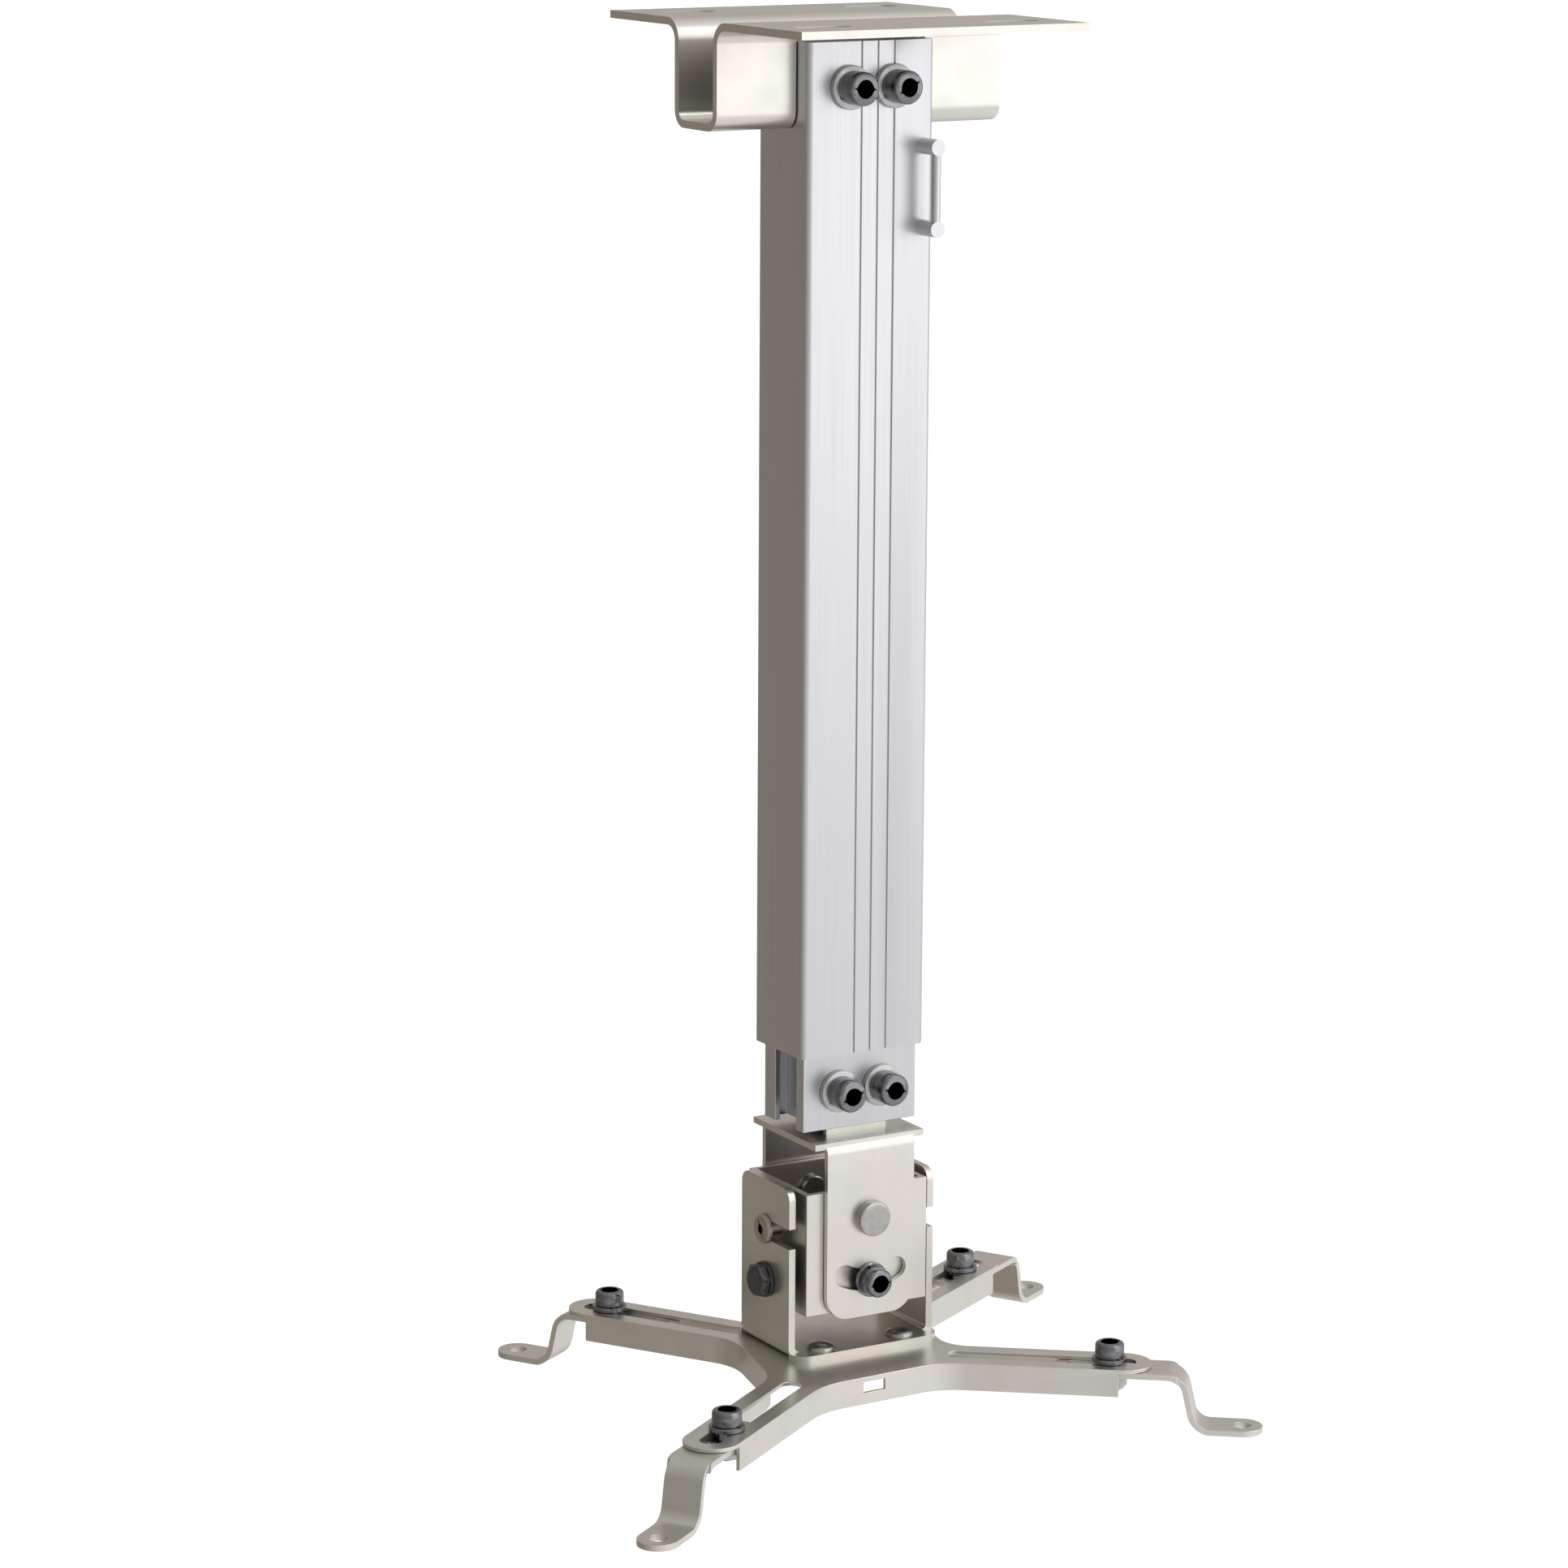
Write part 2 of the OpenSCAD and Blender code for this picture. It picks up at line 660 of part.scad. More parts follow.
module tilt_block() {
  in_x = block_w / 2 - block_t;
  in_y = block_out - block_t;
  color("lightgray")
  difference() {
    union() {
      translate([0, 0, block_top - block_h]) linear_extrude(block_h) difference() {
        square([block_w, 2 * block_out], center = true);
        square([2 * in_x, 2 * in_y], center = true);
      }
      // Threaded bushes for the lock bolts, the pivots and the lock screws
      for (s = [-1, 1]) {
        translate([0, s > 0 ? in_y - bush_h : -in_y - over / 2, roll_lock_z])
          rod_y(bush_d, 0, bush_h + over / 2);
        translate([s > 0 ? in_x - bush_h : -in_x - over / 2, 0, pitch_z])
          rotate([0, 90, 0]) cylinder(d = bush_d, h = bush_h + over / 2);
        translate([s > 0 ? in_x - bush_h : -in_x - over / 2, 0, pitch_lock_z])
          rotate([0, 90, 0]) cylinder(d = lock_bush_d, h = bush_h + over / 2);
      }
    }
    translate([0, 0, roll_z]) rod_y(shank_fit_d, -yoke_span, yoke_span);
    translate([0, 0, roll_lock_z]) rod_y(shank_fit_d, -yoke_span, yoke_span);
    translate([-block_w, 0, pitch_z]) rotate([0, 90, 0]) cylinder(d = shank_fit_d, h = 2 * block_w);
    translate([-block_w, 0, pitch_lock_z])
      rotate([0, 90, 0]) cylinder(d = lock_d + pin_clear, h = 2 * block_w);
  }
}

// Lock bolt of the roll joint with its collar; side 1 puts it at the back
module roll_lock_bolt(side) {
  seat = ear_out + slide_gap;
  color("dimgray")
  translate([0, 0, roll_lock_z]) rotate([0, 0, side > 0 ? 180 : 0])
    translate([0, -seat, 0]) to_front() collar_screw(seat - block_out + block_t + bush_h);
}

// Pivot bolt of the pitch joint with a hexagon head
module pitch_bolt(side) {
  seat = cradle_w / 2 + slide_gap;
  color("dimgray")
  translate([0, 0, pitch_z]) rotate([0, 0, side > 0 ? 90 : -90]) {
    rod_y(pitch_washer_d, -seat - pitch_washer_t, -seat);
    rod_y(nut_d, -seat - pitch_washer_t - pitch_head_h, -seat - pitch_washer_t / 2, 6);
    rod_y(bolt_d, -seat - pitch_washer_t / 2, -block_w / 2 + block_t + bush_h);
  }
}

// Flat lock screw of the pitch joint in the wall's open slot
module pitch_lock_screw(side) {
  seat = cradle_w / 2 + slide_gap;
  color("gray")
  translate([0, 0, pitch_lock_z]) rotate([0, 0, side > 0 ? 90 : -90]) {
    rod_y(lock_head_d, -seat - lock_head_h, -seat);
    rod_y(lock_d, -seat - lock_head_h / 2, -block_w / 2 + block_t + bush_h);
  }
}

// Outline of a cradle wall in the YZ plane, from the underside up
module cradle_wall_outline() {
  r = cradle_corner_r;
  translate([-cradle_wall_d / 2, 0]) square([cradle_wall_d, cradle_h - r]);
  translate([-cradle_wall_d / 2 + r, 0]) square([cradle_wall_d - 2 * r, cradle_h]);
  for (sy = [-1, 1]) translate([sy * (cradle_wall_d / 2 - r), cradle_h - r]) circle(r = r);
}

// Profile of the cradle in the XZ plane, from the underside up
module cradle_profile() {
  flat = cradle_w / 2 - cradle_bend_r;
  translate([-flat, 0]) square([2 * flat, cradle_t]);
  for (sx = [-1, 1]) {
    translate([sx * flat, cradle_bend_r]) quarter_ring(cradle_bend_r, cradle_t, sx, -1);
    translate([sx > 0 ? cradle_wall_in : -cradle_w / 2, cradle_bend_r])
      square([cradle_t, cradle_h - cradle_bend_r]);
  }
}

module base_cradle() {
  slot_back = lock_d / 2 + pitch_slot_run;
  color("whitesmoke")
  translate([0, 0, base_z]) difference() {
    union() {
      intersection() {
        translate([0, cradle_floor_d / 2, 0]) rotate([90, 0, 0])
          linear_extrude(cradle_floor_d) cradle_profile();
        along_x(2 * cradle_w) cradle_wall_outline();
      }
      // Floor with its tongues in front of the walls and behind them
      linear_extrude(cradle_t) difference() {
        round_rect(cradle_w, cradle_floor_d, floor_corner_r);
        for (sx = [-1, 1])
          translate([sx * cradle_w / 2, 0]) square([2 * cradle_bend_r, cradle_wall_d], center = true);
      }
    }
    translate([-cradle_w, 0, pitch_pivot_rise]) rotate([0, 90, 0])
      cylinder(d = shank_fit_d, h = 2 * cradle_w);
    translate([-cradle_w, -cradle_floor_d, pitch_pivot_rise + pitch_lock_r - pitch_slot_w / 2])
      cube([2 * cradle_w, cradle_floor_d + slot_back - pitch_slot_w / 2, pitch_slot_w]);
    translate([-cradle_w, slot_back - pitch_slot_w / 2, pitch_pivot_rise + pitch_lock_r])
      rotate([0, 90, 0]) cylinder(d = pitch_slot_w, h = 2 * cradle_w);
    rivet_places() translate([0, 0, -over]) cylinder(d = rivet_d + pin_clear, h = cradle_t + 2 * over);
  }
}

module rivet_places() {
  for (sx = [-1, 1]) for (sy = [-1, 1])
    translate([sx * rivet_x, sy * rivet_y, 0]) children();
}

module base_rivet(sx, sy) {
  rivet_grip = rivet_head_h + arm_t + cradle_t;
  color("lightgray")
  translate([sx * rivet_x, sy * rivet_y, base_z]) {
    translate([0, 0, cradle_t]) cylinder(d = rivet_head_d, h = rivet_head_h);
    translate([0, 0, -arm_t - rivet_head_h]) cylinder(d = rivet_d, h = rivet_head_h / 2 + rivet_grip);
    translate([0, 0, -arm_t - rivet_head_h]) cylinder(d = rivet_tail_d, h = rivet_head_h);
  }
}

// A point beside an arm's axis: along it and to its left
function arm_point(arm, along, left) =
  arm[0] + along * [cos(arm[1]), sin(arm[1])] + left * [-sin(arm[1]), cos(arm[1])];

// Rounded inner corner of the hub between an arm and its neighbour, from the arm's side to the hub's edge.
// side is 1 for the arm's left side and -1 for its right side; inset is the sheet when the inside is drawn.
function hub_corner(arm, near, side, inset) =
  let (root = arm_point(arm, hub_reach, side * arm_w / 2),
    edge = arm_point(near, hub_reach, -side * arm_w / 2) - root,
    run = edge / norm(edge),
    turn = -run * [cos(arm[1]), sin(arm[1])],
    pull = inset * sqrt((1 - turn) / (1 + turn)),
    left = side * (arm_w / 2 - inset),
    corner = arm_point(arm, hub_reach - pull, left),
    first = arm_point(arm, hub_reach + hub_round, left),
    last = corner + (hub_round + pull) * run)
  [for (i = [0 : hub_steps]) let (t = i / hub_steps)
    pow(1 - t, 2) * first + 2 * t * (1 - t) * corner + pow(t, 2) * last];

// An arm's end, from its right side to its left: round for the plate, and for the inside so wide
// that it ends the flanges a little before the rounding starts
function arm_end(arm, inset) =
  let (half = arm_w / 2, inner = half - inset, outer = half + over, start = arm[2] - half,
    stop = start - over, tip = arm[2] + over)
  inset > 0
    ? [for (p = [[stop, -inner], [stop, -outer], [tip, -outer], [tip, outer], [stop, outer], [stop, inner]])
        arm_point(arm, p[0], p[1])]
    : [for (i = [-hub_steps : hub_steps]) let (a = 90 * i / hub_steps)
        arm_point(arm, start + half * cos(a), half * sin(a))];

// Plan of the spider; inset is the sheet when the inside is drawn, which then runs past the arms' ends
module spider_plan(inset) {
  arms = len(arm_list);
  polygon([for (k = [0 : arms - 1])
    let (arm = arm_list[k],
      before = hub_corner(arm, arm_list[(k + arms - 1) % arms], -1, inset),
      after = hub_corner(arm, arm_list[(k + 1) % arms], 1, inset))
      each concat([for (i = [hub_steps : -1 : 0]) before[i]], arm_end(arm, inset), after)]);
}

module arm_spider() {
  window_front = right_root_y + arm_w;
  color("lightgray")
  translate([0, 0, base_z]) difference() {
    translate([0, 0, -flange_h]) linear_extrude(flange_h) spider_plan(0);
    translate([0, 0, -flange_h - over]) linear_extrude(flange_h + over - arm_t) spider_plan(arm_t);
    for (arm = arm_list) {
      first = arm_slot_start + arm_slot_w / 2;
      last = arm[2] - arm_slot_land - arm_slot_w / 2;
      mid = arm_point(arm, (first + last) / 2, 0);
      translate([mid[0], mid[1], -arm_t - over]) rotate([0, 0, arm[1]])
        linear_extrude(arm_t + 2 * over) slot_shape(last - first, arm_slot_w);
    }
    rivet_places() translate([0, 0, -arm_t - over]) cylinder(d = rivet_d + pin_clear, h = arm_t + 2 * over);
    translate([-hub_window_x - hub_window_w / 2, -window_front, -arm_t - hub_window_rim - hub_window_h])
      cube([hub_window_w, window_front - right_root_y, hub_window_h]);
  }
}

// Puts a child at the place of an arm's bolt, with +X outward and z 0 on the arm's top
module at_bolt(arm) {
  place = arm_point(arm, arm[3], 0);
  translate([place[0], place[1], base_z]) rotate([0, 0, arm[1]]) children();
}

// Side view of a foot, with the start of its bend at the origin
module foot_side() {
  r = foot_bend_r;
  leg = foot_drop - r - foot_in;
  translate([-foot_straight, -foot_t]) square([foot_straight, foot_t]);
  translate([0, -r]) quarter_ring(r, foot_t, 1, 1);
  translate([r - foot_t, -r - leg]) square([foot_t, leg]);
  translate([2 * r - foot_t, -r - leg]) quarter_ring(r, foot_t, -1, -1);
  translate([2 * r - foot_t, -r - leg - r])
    square([pad_reach + leg_w / 2 - 2 * r + foot_t, foot_t]);
}

// Plan of a foot, with the start of its bend at the origin
module foot_plan() {
  first = -foot_straight + foot_w / 2;
  difference() {
    union() {
      translate([first, -foot_w / 2]) square([foot_shoulder - first, foot_w]);
      translate([first, 0]) circle(d = foot_w);
      translate([0, -leg_w / 2]) square([pad_reach, leg_w]);
      translate([pad_reach, 0]) circle(d = leg_w);
    }
    translate([-(foot_slot_near + foot_slot_far) / 2, 0])
      slot_shape(foot_slot_far - foot_slot_near, foot_slot_w);
    translate([pad_reach, 0]) circle(d = pad_hole_d);
  }
}

module foot(arm) {
  depth = foot_drop + foot_t + over;
  color("lightgray")
  at_bolt(arm) translate([arm[4], 0, foot_top]) intersection() {
    translate([0, foot_w / 2 + over, 0]) rotate([90, 0, 0]) linear_extrude(foot_w + 2 * over) foot_side();
    translate([0, 0, -depth]) linear_extrude(depth + over) foot_plan();
  }
}

module foot_bolt(arm) {
  color("dimgray")
  at_bolt(arm) translate([0, 0, slide_gap])
    collar_screw(slide_gap - foot_top + foot_t + nut_h + bolt_tail / 2);
}

module foot_nut(arm) {
  color("gray")
  at_bolt(arm) translate([0, 0, foot_top - foot_t - nut_h]) ring(nut_d, shank_fit_d, nut_h, 6);
}

// Sets a sub-part, drawn about the post's axis, in the frame whose origin is between the front slots
module in_frame() {
  translate([0, slot_y, 0]) children();
}

in_frame() ceiling_bracket();
in_frame() outer_post();
in_frame() cable_loop();
in_frame() upper_bolt(-1);  // upper_bolt_left
in_frame() upper_bolt(1);  // upper_bolt_right
in_frame() upper_washer(-1);  // upper_washer_left
in_frame() upper_washer(1);  // upper_washer_right
in_frame() upper_nut(-1);  // upper_nut_left
in_frame() upper_nut(1);  // upper_nut_right
in_frame() inner_post();
in_frame() lower_bolt(-1);  // lower_bolt_left
in_frame() lower_bolt(1);  // lower_bolt_right
in_frame() lower_washer(-1);  // lower_washer_left
in_frame() lower_washer(1);  // lower_washer_right
in_frame() lower_nut(-1);  // lower_nut_left
in_frame() lower_nut(1);  // lower_nut_right
in_frame() head_yoke();
in_frame() roll_rivet(-1);  // roll_rivet_front
in_frame() roll_rivet(1);  // roll_rivet_back
in_frame() tilt_block();
in_frame() roll_lock_bolt(-1);  // roll_lock_bolt_front
in_frame() roll_lock_bolt(1);  // roll_lock_bolt_back
in_frame() pitch_bolt(-1);  // pitch_bolt_left
in_frame() pitch_bolt(1);  // pitch_bolt_right
in_frame() pitch_lock_screw(-1);  // pitch_lock_screw_left
in_frame() pitch_lock_screw(1);  // pitch_lock_screw_right
in_frame() base_cradle();
in_frame() arm_spider();
in_frame() base_rivet(-1, -1);  // base_rivet_front_left
in_frame() base_rivet(1, -1);  // base_rivet_front_right
in_frame() base_rivet(-1, 1);  // base_rivet_back_left
in_frame() base_rivet(1, 1);  // base_rivet_back_right
in_frame() foot(arm_list[0]);  // foot_left
in_frame() foot_bolt(arm_list[0]);  // foot_bolt_left
in_frame() foot_nut(arm_list[0]);  // foot_nut_left
in_frame() foot(arm_list[1]);  // foot_front_left
in_frame() foot_bolt(arm_list[1]);  // foot_bolt_front_left
in_frame() foot_nut(arm_list[1]);  // foot_nut_front_left
in_frame() foot(arm_list[2]);  // foot_right
in_frame() foot_bolt(arm_list[2]);  // foot_bolt_right
in_frame() foot_nut(arm_list[2]);  // foot_nut_right
in_frame() foot(arm_list[3]);  // foot_back_right
in_frame() foot_bolt(arm_list[3]);  // foot_bolt_back_right
in_frame() foot_nut(arm_list[3]);  // foot_nut_back_right
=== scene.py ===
"""Dresses a projector ceiling drop mount: pressed sheet, extruded posts, screws and a white studio.

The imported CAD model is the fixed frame. Pressed and extruded pieces are merged copies of their
CAD nodes with the small edge break that a press tool and a deburring brush leave, and the feet's
legs lean a little. Screws, nuts, washers and rivets are turned anew, with chamfers, sockets and
threads. Lengths are in metres, and in millimetres in the rings of turned pieces.
"""

import json
import logging
import math
from abc import ABC, abstractmethod
from dataclasses import dataclass
from enum import Enum

import bmesh
import bpy
from mathutils import Matrix, Vector

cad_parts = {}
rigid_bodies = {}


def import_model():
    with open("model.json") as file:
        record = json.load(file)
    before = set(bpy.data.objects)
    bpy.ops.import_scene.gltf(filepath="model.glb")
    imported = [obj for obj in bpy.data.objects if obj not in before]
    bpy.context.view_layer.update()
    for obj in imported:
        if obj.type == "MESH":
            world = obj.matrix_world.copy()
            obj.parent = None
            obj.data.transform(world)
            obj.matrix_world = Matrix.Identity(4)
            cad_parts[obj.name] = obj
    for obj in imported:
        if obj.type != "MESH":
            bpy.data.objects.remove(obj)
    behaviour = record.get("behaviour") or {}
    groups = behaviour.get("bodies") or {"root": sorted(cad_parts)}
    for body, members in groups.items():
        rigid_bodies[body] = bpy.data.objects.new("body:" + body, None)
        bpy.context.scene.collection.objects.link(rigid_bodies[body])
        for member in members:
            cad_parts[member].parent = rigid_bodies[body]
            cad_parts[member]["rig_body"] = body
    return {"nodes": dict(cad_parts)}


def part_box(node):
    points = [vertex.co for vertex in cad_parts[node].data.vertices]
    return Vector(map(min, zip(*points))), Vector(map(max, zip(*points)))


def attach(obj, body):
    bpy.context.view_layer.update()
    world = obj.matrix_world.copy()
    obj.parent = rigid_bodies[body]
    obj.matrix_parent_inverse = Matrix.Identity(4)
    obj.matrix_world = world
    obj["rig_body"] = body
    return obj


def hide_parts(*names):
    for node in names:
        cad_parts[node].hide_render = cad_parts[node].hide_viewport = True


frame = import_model()

LOG = logging.getLogger("mount")
MM = 0.001
# Points closer than this are one point.
MERGE = 1e-6
# Faces that meet at less than this are one flat face.
FLAT = math.radians(0.3)
# Edges that turn by more than this are real edges: they stay sharp and get broken.
SHARP = math.radians(32)
# The post's axis lies this far behind the frame's origin.
AXIS_Y = 41 * MM
WHITE = (1.0, 1.0, 1.0, 1.0)


def linear(hex_colour: str) -> tuple[float, float, float, float]:
    """Turns an sRGB hex colour into linear light.

    Args:
        hex_colour: Six hex digits after a number sign.

    Returns:
        Red, green, blue and an alpha of 1.
    """
    values = [int(hex_colour[i : i + 2], 16) / 255 for i in (1, 3, 5)]
    red, green, blue = (
        v / 12.92 if v <= 0.04045 else ((v + 0.055) / 1.055) ** 2.4 for v in values
    )
    return red, green, blue, 1.0


def add_node(
    tree: bpy.types.NodeTree,
    kind: str,
    settings: dict | None = None,
    links: dict | None = None,
) -> bpy.types.Node:
    """Adds a node with its settings and links.

    Args:
        tree: The tree that gets the node.
        kind: The node's type name.
        settings: Attribute names, input names or input numbers with their values.
        links: Input names or numbers with the output sockets that feed them.

    Returns:
        The new node.
    """
    node = tree.nodes.new(kind)
    for name, value in (settings or {}).items():
        if isinstance(name, str) and hasattr(node, name):
            setattr(node, name, value)
        else:
            node.inputs[name].default_value = value
    for name, output in (links or {}).items():
        tree.links.new(output, node.inputs[name])
    return node


@dataclass(frozen=True)
class Finish(ABC):
    """A real surface finish, made as one material that reads Object coordinates."""

    name: str
    slot: str
    colour: str
    shade: str
    metallic: float
    roughness: float

    def material(self) -> bpy.types.Material:
        """Makes the finish's material once.

        Returns:
            The material.
        """
        made = bpy.data.materials.get(self.name)
        if made:
            return made
        made = bpy.data.materials.new(self.name)
        made.use_nodes = True
        tree = made.node_tree
        shader = tree.nodes["Principled BSDF"]
        shader.inputs["Metallic"].default_value = self.metallic
        self.paint(tree, shader)
        return made

    @abstractmethod
    def paint(self, tree: bpy.types.NodeTree, shader: bpy.types.Node) -> None:
        """Adds the finish's pattern to the shader."""

    def place(self, tree: bpy.types.NodeTree, stretch: tuple = (1, 1, 1)) -> bpy.types.NodeSocket:
        """Reads Object coordinates, stretched along the axes.

        Args:
            tree: The material's tree.
            stretch: How much each axis is multiplied.

        Returns:
            The coordinates.
        """
        source = add_node(tree, "ShaderNodeTexCoord")
        mapping = add_node(
            tree, "ShaderNodeMapping", {"Scale": stretch}, {"Vector": source.outputs["Object"]}
        )
        return mapping.outputs["Vector"]

    def noise(
        self, tree: bpy.types.NodeTree, place: bpy.types.NodeSocket, size: float, detail: float
    ) -> bpy.types.NodeSocket:
        """Returns noise whose grains are about a size in metres."""
        made = add_node(
            tree, "ShaderNodeTexNoise", {"Scale": 1 / size, "Detail": detail}, {"Vector": place}
        )
        return made.outputs["Fac"]

    def vary(
        self,
        tree: bpy.types.NodeTree,
        shader: bpy.types.Node,
        amount: bpy.types.NodeSocket,
        spread: float,
    ) -> None:
        """Moves the colour between its two tones and the roughness about its middle.

        Args:
            tree: The material's tree.
            shader: Its shader.
            amount: A pattern from 0 to 1.
            spread: How far the roughness goes to each side.
        """
        mix = add_node(
            tree,
            "ShaderNodeMix",
            {"data_type": "RGBA", 6: linear(self.shade), 7: linear(self.colour)},
            {0: amount},
        )
        tree.links.new(mix.outputs[2], shader.inputs["Base Color"])
        rough = add_node(
            tree,
            "ShaderNodeMapRange",
            {"To Min": self.roughness + spread, "To Max": self.roughness - spread},
            {"Value": amount},
        )
        tree.links.new(rough.outputs["Result"], shader.inputs["Roughness"])

    def relief(
        self,
        tree: bpy.types.NodeTree,
        shader: bpy.types.Node,
        height: bpy.types.NodeSocket,
        depth: float,
    ) -> None:
        """Adds fine relief of a depth in metres."""
        bump = add_node(
            tree, "ShaderNodeBump", {"Strength": 1.0, "Distance": depth}, {"Height": height}
        )
        tree.links.new(bump.outputs["Normal"], shader.inputs["Normal"])


@dataclass(frozen=True)
class PassivatedZinc(Finish):
    """Bright zinc-plated sheet steel: a soft mirror under a faintly pink and green film."""

    warm: str = "#cfb6ac"
    cool: str = "#b6c0ab"
    cloud: float = 14 * MM
    cloud_spread: float = 0.06
    drift: float = 22 * MM
    drift_stretch: tuple = (1, 1, 1.7)
    drift_levels: tuple = (0.42, 0.58)
    film: float = 0.24
    grain: float = 0.9 * MM
    grain_depth: float = 0.005 * MM

    def paint(self, tree: bpy.types.NodeTree, shader: bpy.types.Node) -> None:
        """Adds the cloudy tone of the plating, the film's tints and the rolled sheet's grain.

        Args:
            tree: The material's tree.
            shader: Its shader.
        """
        place = self.place(tree)
        # The bath leaves clouds of about 14 mm, so that a face never reads as one flat grey.
        self.vary(tree, shader, self.noise(tree, place, self.cloud, 3), self.cloud_spread)
        tone = shader.inputs["Base Color"].links[0].from_socket
        # The film's thickness drifts over about 22 mm and shows as weak pink and green.
        drift = self.noise(tree, self.place(tree, self.drift_stretch), self.drift, 1)
        tint = add_node(
            tree,
            "ShaderNodeMix",
            {"data_type": "RGBA", 6: linear(self.warm), 7: linear(self.cool)},
            {0: self.sharpen(tree, drift)},
        )
        film = add_node(
            tree,
            "ShaderNodeMix",
            {"data_type": "RGBA", 0: self.film},
            {6: tone, 7: tint.outputs[2]},
        )
        tree.links.new(film.outputs[2], shader.inputs["Base Color"])
        # Rolling leaves a grain of about 0.9 mm that softens the highlights on the bends.
        grain = self.noise(tree, place, self.grain, 1)
        self.relief(tree, shader, grain, self.grain_depth)

    def sharpen(
        self, tree: bpy.types.NodeTree, amount: bpy.types.NodeSocket
    ) -> bpy.types.NodeSocket:
        """Returns the drift stretched to the full range between its two levels.

        Args:
            tree: The material's tree.
            amount: The drift.

        Returns:
            The pattern from 0 to 1.
        """
        low, high = self.drift_levels
        node = add_node(
            tree, "ShaderNodeMapRange", {"From Min": low, "From Max": high}, {"Value": amount}
        )
        return node.outputs["Result"]


@dataclass(frozen=True)
class DrawnAnodised(Finish):
    """Anodised aluminium extrusion: die lines along its length under a clear satin skin."""

    line_width: float = 0.5 * MM
    line_length: float = 80 * MM
    line_spread: float = 0.07
    line_depth: float = 0.004 * MM

    def paint(self, tree: bpy.types.NodeTree, shader: bpy.types.Node) -> None:
        """Adds the die lines, finer in the real skin and drawn 0.5 mm wide so that they show.

        Args:
            tree: The material's tree.
            shader: Its shader.
        """
        across, along = 1 / self.line_width, 1 / self.line_length
        lines = self.noise(tree, self.place(tree, (across, across, along)), 1.0, 3)
        self.vary(tree, shader, lines, self.line_spread)
        self.relief(tree, shader, lines, self.line_depth)


@dataclass(frozen=True)
class PatchyFinish(Finish):
    """A bath's skin on small hardware: a patchy tone over a fine grit."""

    patch: float = 2 * MM
    patch_detail: float = 3
    patch_spread: float = 0.08
    grit: float = 0.4 * MM
    grit_depth: float = 0.005 * MM

    def paint(self, tree: bpy.types.NodeTree, shader: bpy.types.Node) -> None:
        """Adds the patches of the bath and the grit that its grains or the lathe leave.

        Args:
            tree: The material's tree.
            shader: Its shader.
        """
        place = self.place(tree)
        patches = self.noise(tree, place, self.patch, self.patch_detail)
        self.vary(tree, shader, patches, self.patch_spread)
        self.relief(tree, shader, self.noise(tree, place, self.grit, 1), self.grit_depth)


@dataclass(frozen=True)
class BlackOxide(PatchyFinish):
    """Blackened screw steel: dark and half glossy, with the sheen of its oil film."""

    patch: float = 1.5 * MM
    patch_detail: float = 2
    patch_spread: float = 0.1
    grit: float = 0.3 * MM
    grit_depth: float = 0.004 * MM


@dataclass(frozen=True)
class ZincPlate(PatchyFinish):
    """Zinc-plated hardware: bright grey with a slightly milky, patchy skin."""


# Zinc mirrors the room softly: fronts glow, and faces to the dark side fall off to a warm grey.
SHEET = PassivatedZinc(
    "passivated_bright_zinc", "zinc_plated_sheet_steel", "#e4e2df", "#d2d0cb", 1.0, 0.34
)
# Clear anodising keeps the metal's own reflection but blurs it to satin.
POST = DrawnAnodised(
    "clear_anodised_aluminium", "anodised_aluminium", "#cfcfd2", "#c0c0c4", 1.0, 0.34
)
# Black oxide is thin, so the steel's gloss shows through.
SCREW = BlackOxide("black_oxide_steel", "dark_screw_steel", "#8c8c91", "#68686d", 0.95, 0.18)
# The pivot bolts' oxide is thicker and swallows more light.
PIVOT = BlackOxide("thick_black_oxide_steel", "dark_screw_steel", "#626266", "#46464a", 0.95, 0.22)
# Lock screws are dulled zinc and stay close to the wall's own tone.
LOCK = ZincPlate("dulled_zinc_screw", "dark_screw_steel", "#c2bbb3", "#a69f97", 1.0, 0.36)
# Bright zinc picks up the studio and reads light beside the dark heads.
ZINC = ZincPlate("bright_zinc_plate", "grey_hardware_steel", "#c4c4c4", "#9c9c9d", 1.0, 0.3)
# Rivets are pressed from bare bright steel wire.
RIVET = ZincPlate("bright_rivet_steel", "rivet_steel", "#bdbbb8", "#9a9896", 1.0, 0.28)


def finish_object(mesh: bpy.types.Mesh, name: str, edge: float) -> bpy.types.Object:
    """Makes a smooth object of a mesh, with its sharp edges broken.

    Args:
        mesh: The finished mesh, in place.
        name: The piece's name.
        edge: Width of the broken edge, or 0 for none.

    Returns:
        The new object, at the origin.
    """
    mesh.shade_smooth()
    mesh.set_sharp_from_angle(angle=SHARP)
    piece = bpy.data.objects.new(name, mesh)
    bpy.context.scene.collection.objects.link(piece)
    if edge > 0:
        bevel = piece.modifiers.new("edge_break", "BEVEL")
        bevel.width = edge
        bevel.segments = 2
        bevel.limit_method = "ANGLE"
        bevel.angle_limit = SHARP
        bevel.harden_normals = True
    return piece


@dataclass
class Piece(ABC):
    """One piece that stands for one CAD node."""

    node: str
    finish: Finish

    @abstractmethod
    def build(self) -> bpy.types.Object:
        """Builds the piece's object in place."""

    def dress(self) -> bpy.types.Object:
        """Builds the piece, gives it its finish and ties it to the frame.

        Returns:
            The piece's object.
        """
        piece = self.build()
        piece.data.materials.clear()
        piece.data.materials.append(self.finish.material())
        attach(piece, frame["nodes"][self.node]["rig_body"])
        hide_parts(self.node)
        LOG.info("%s stands for %s", piece.name, self.node)
        return piece


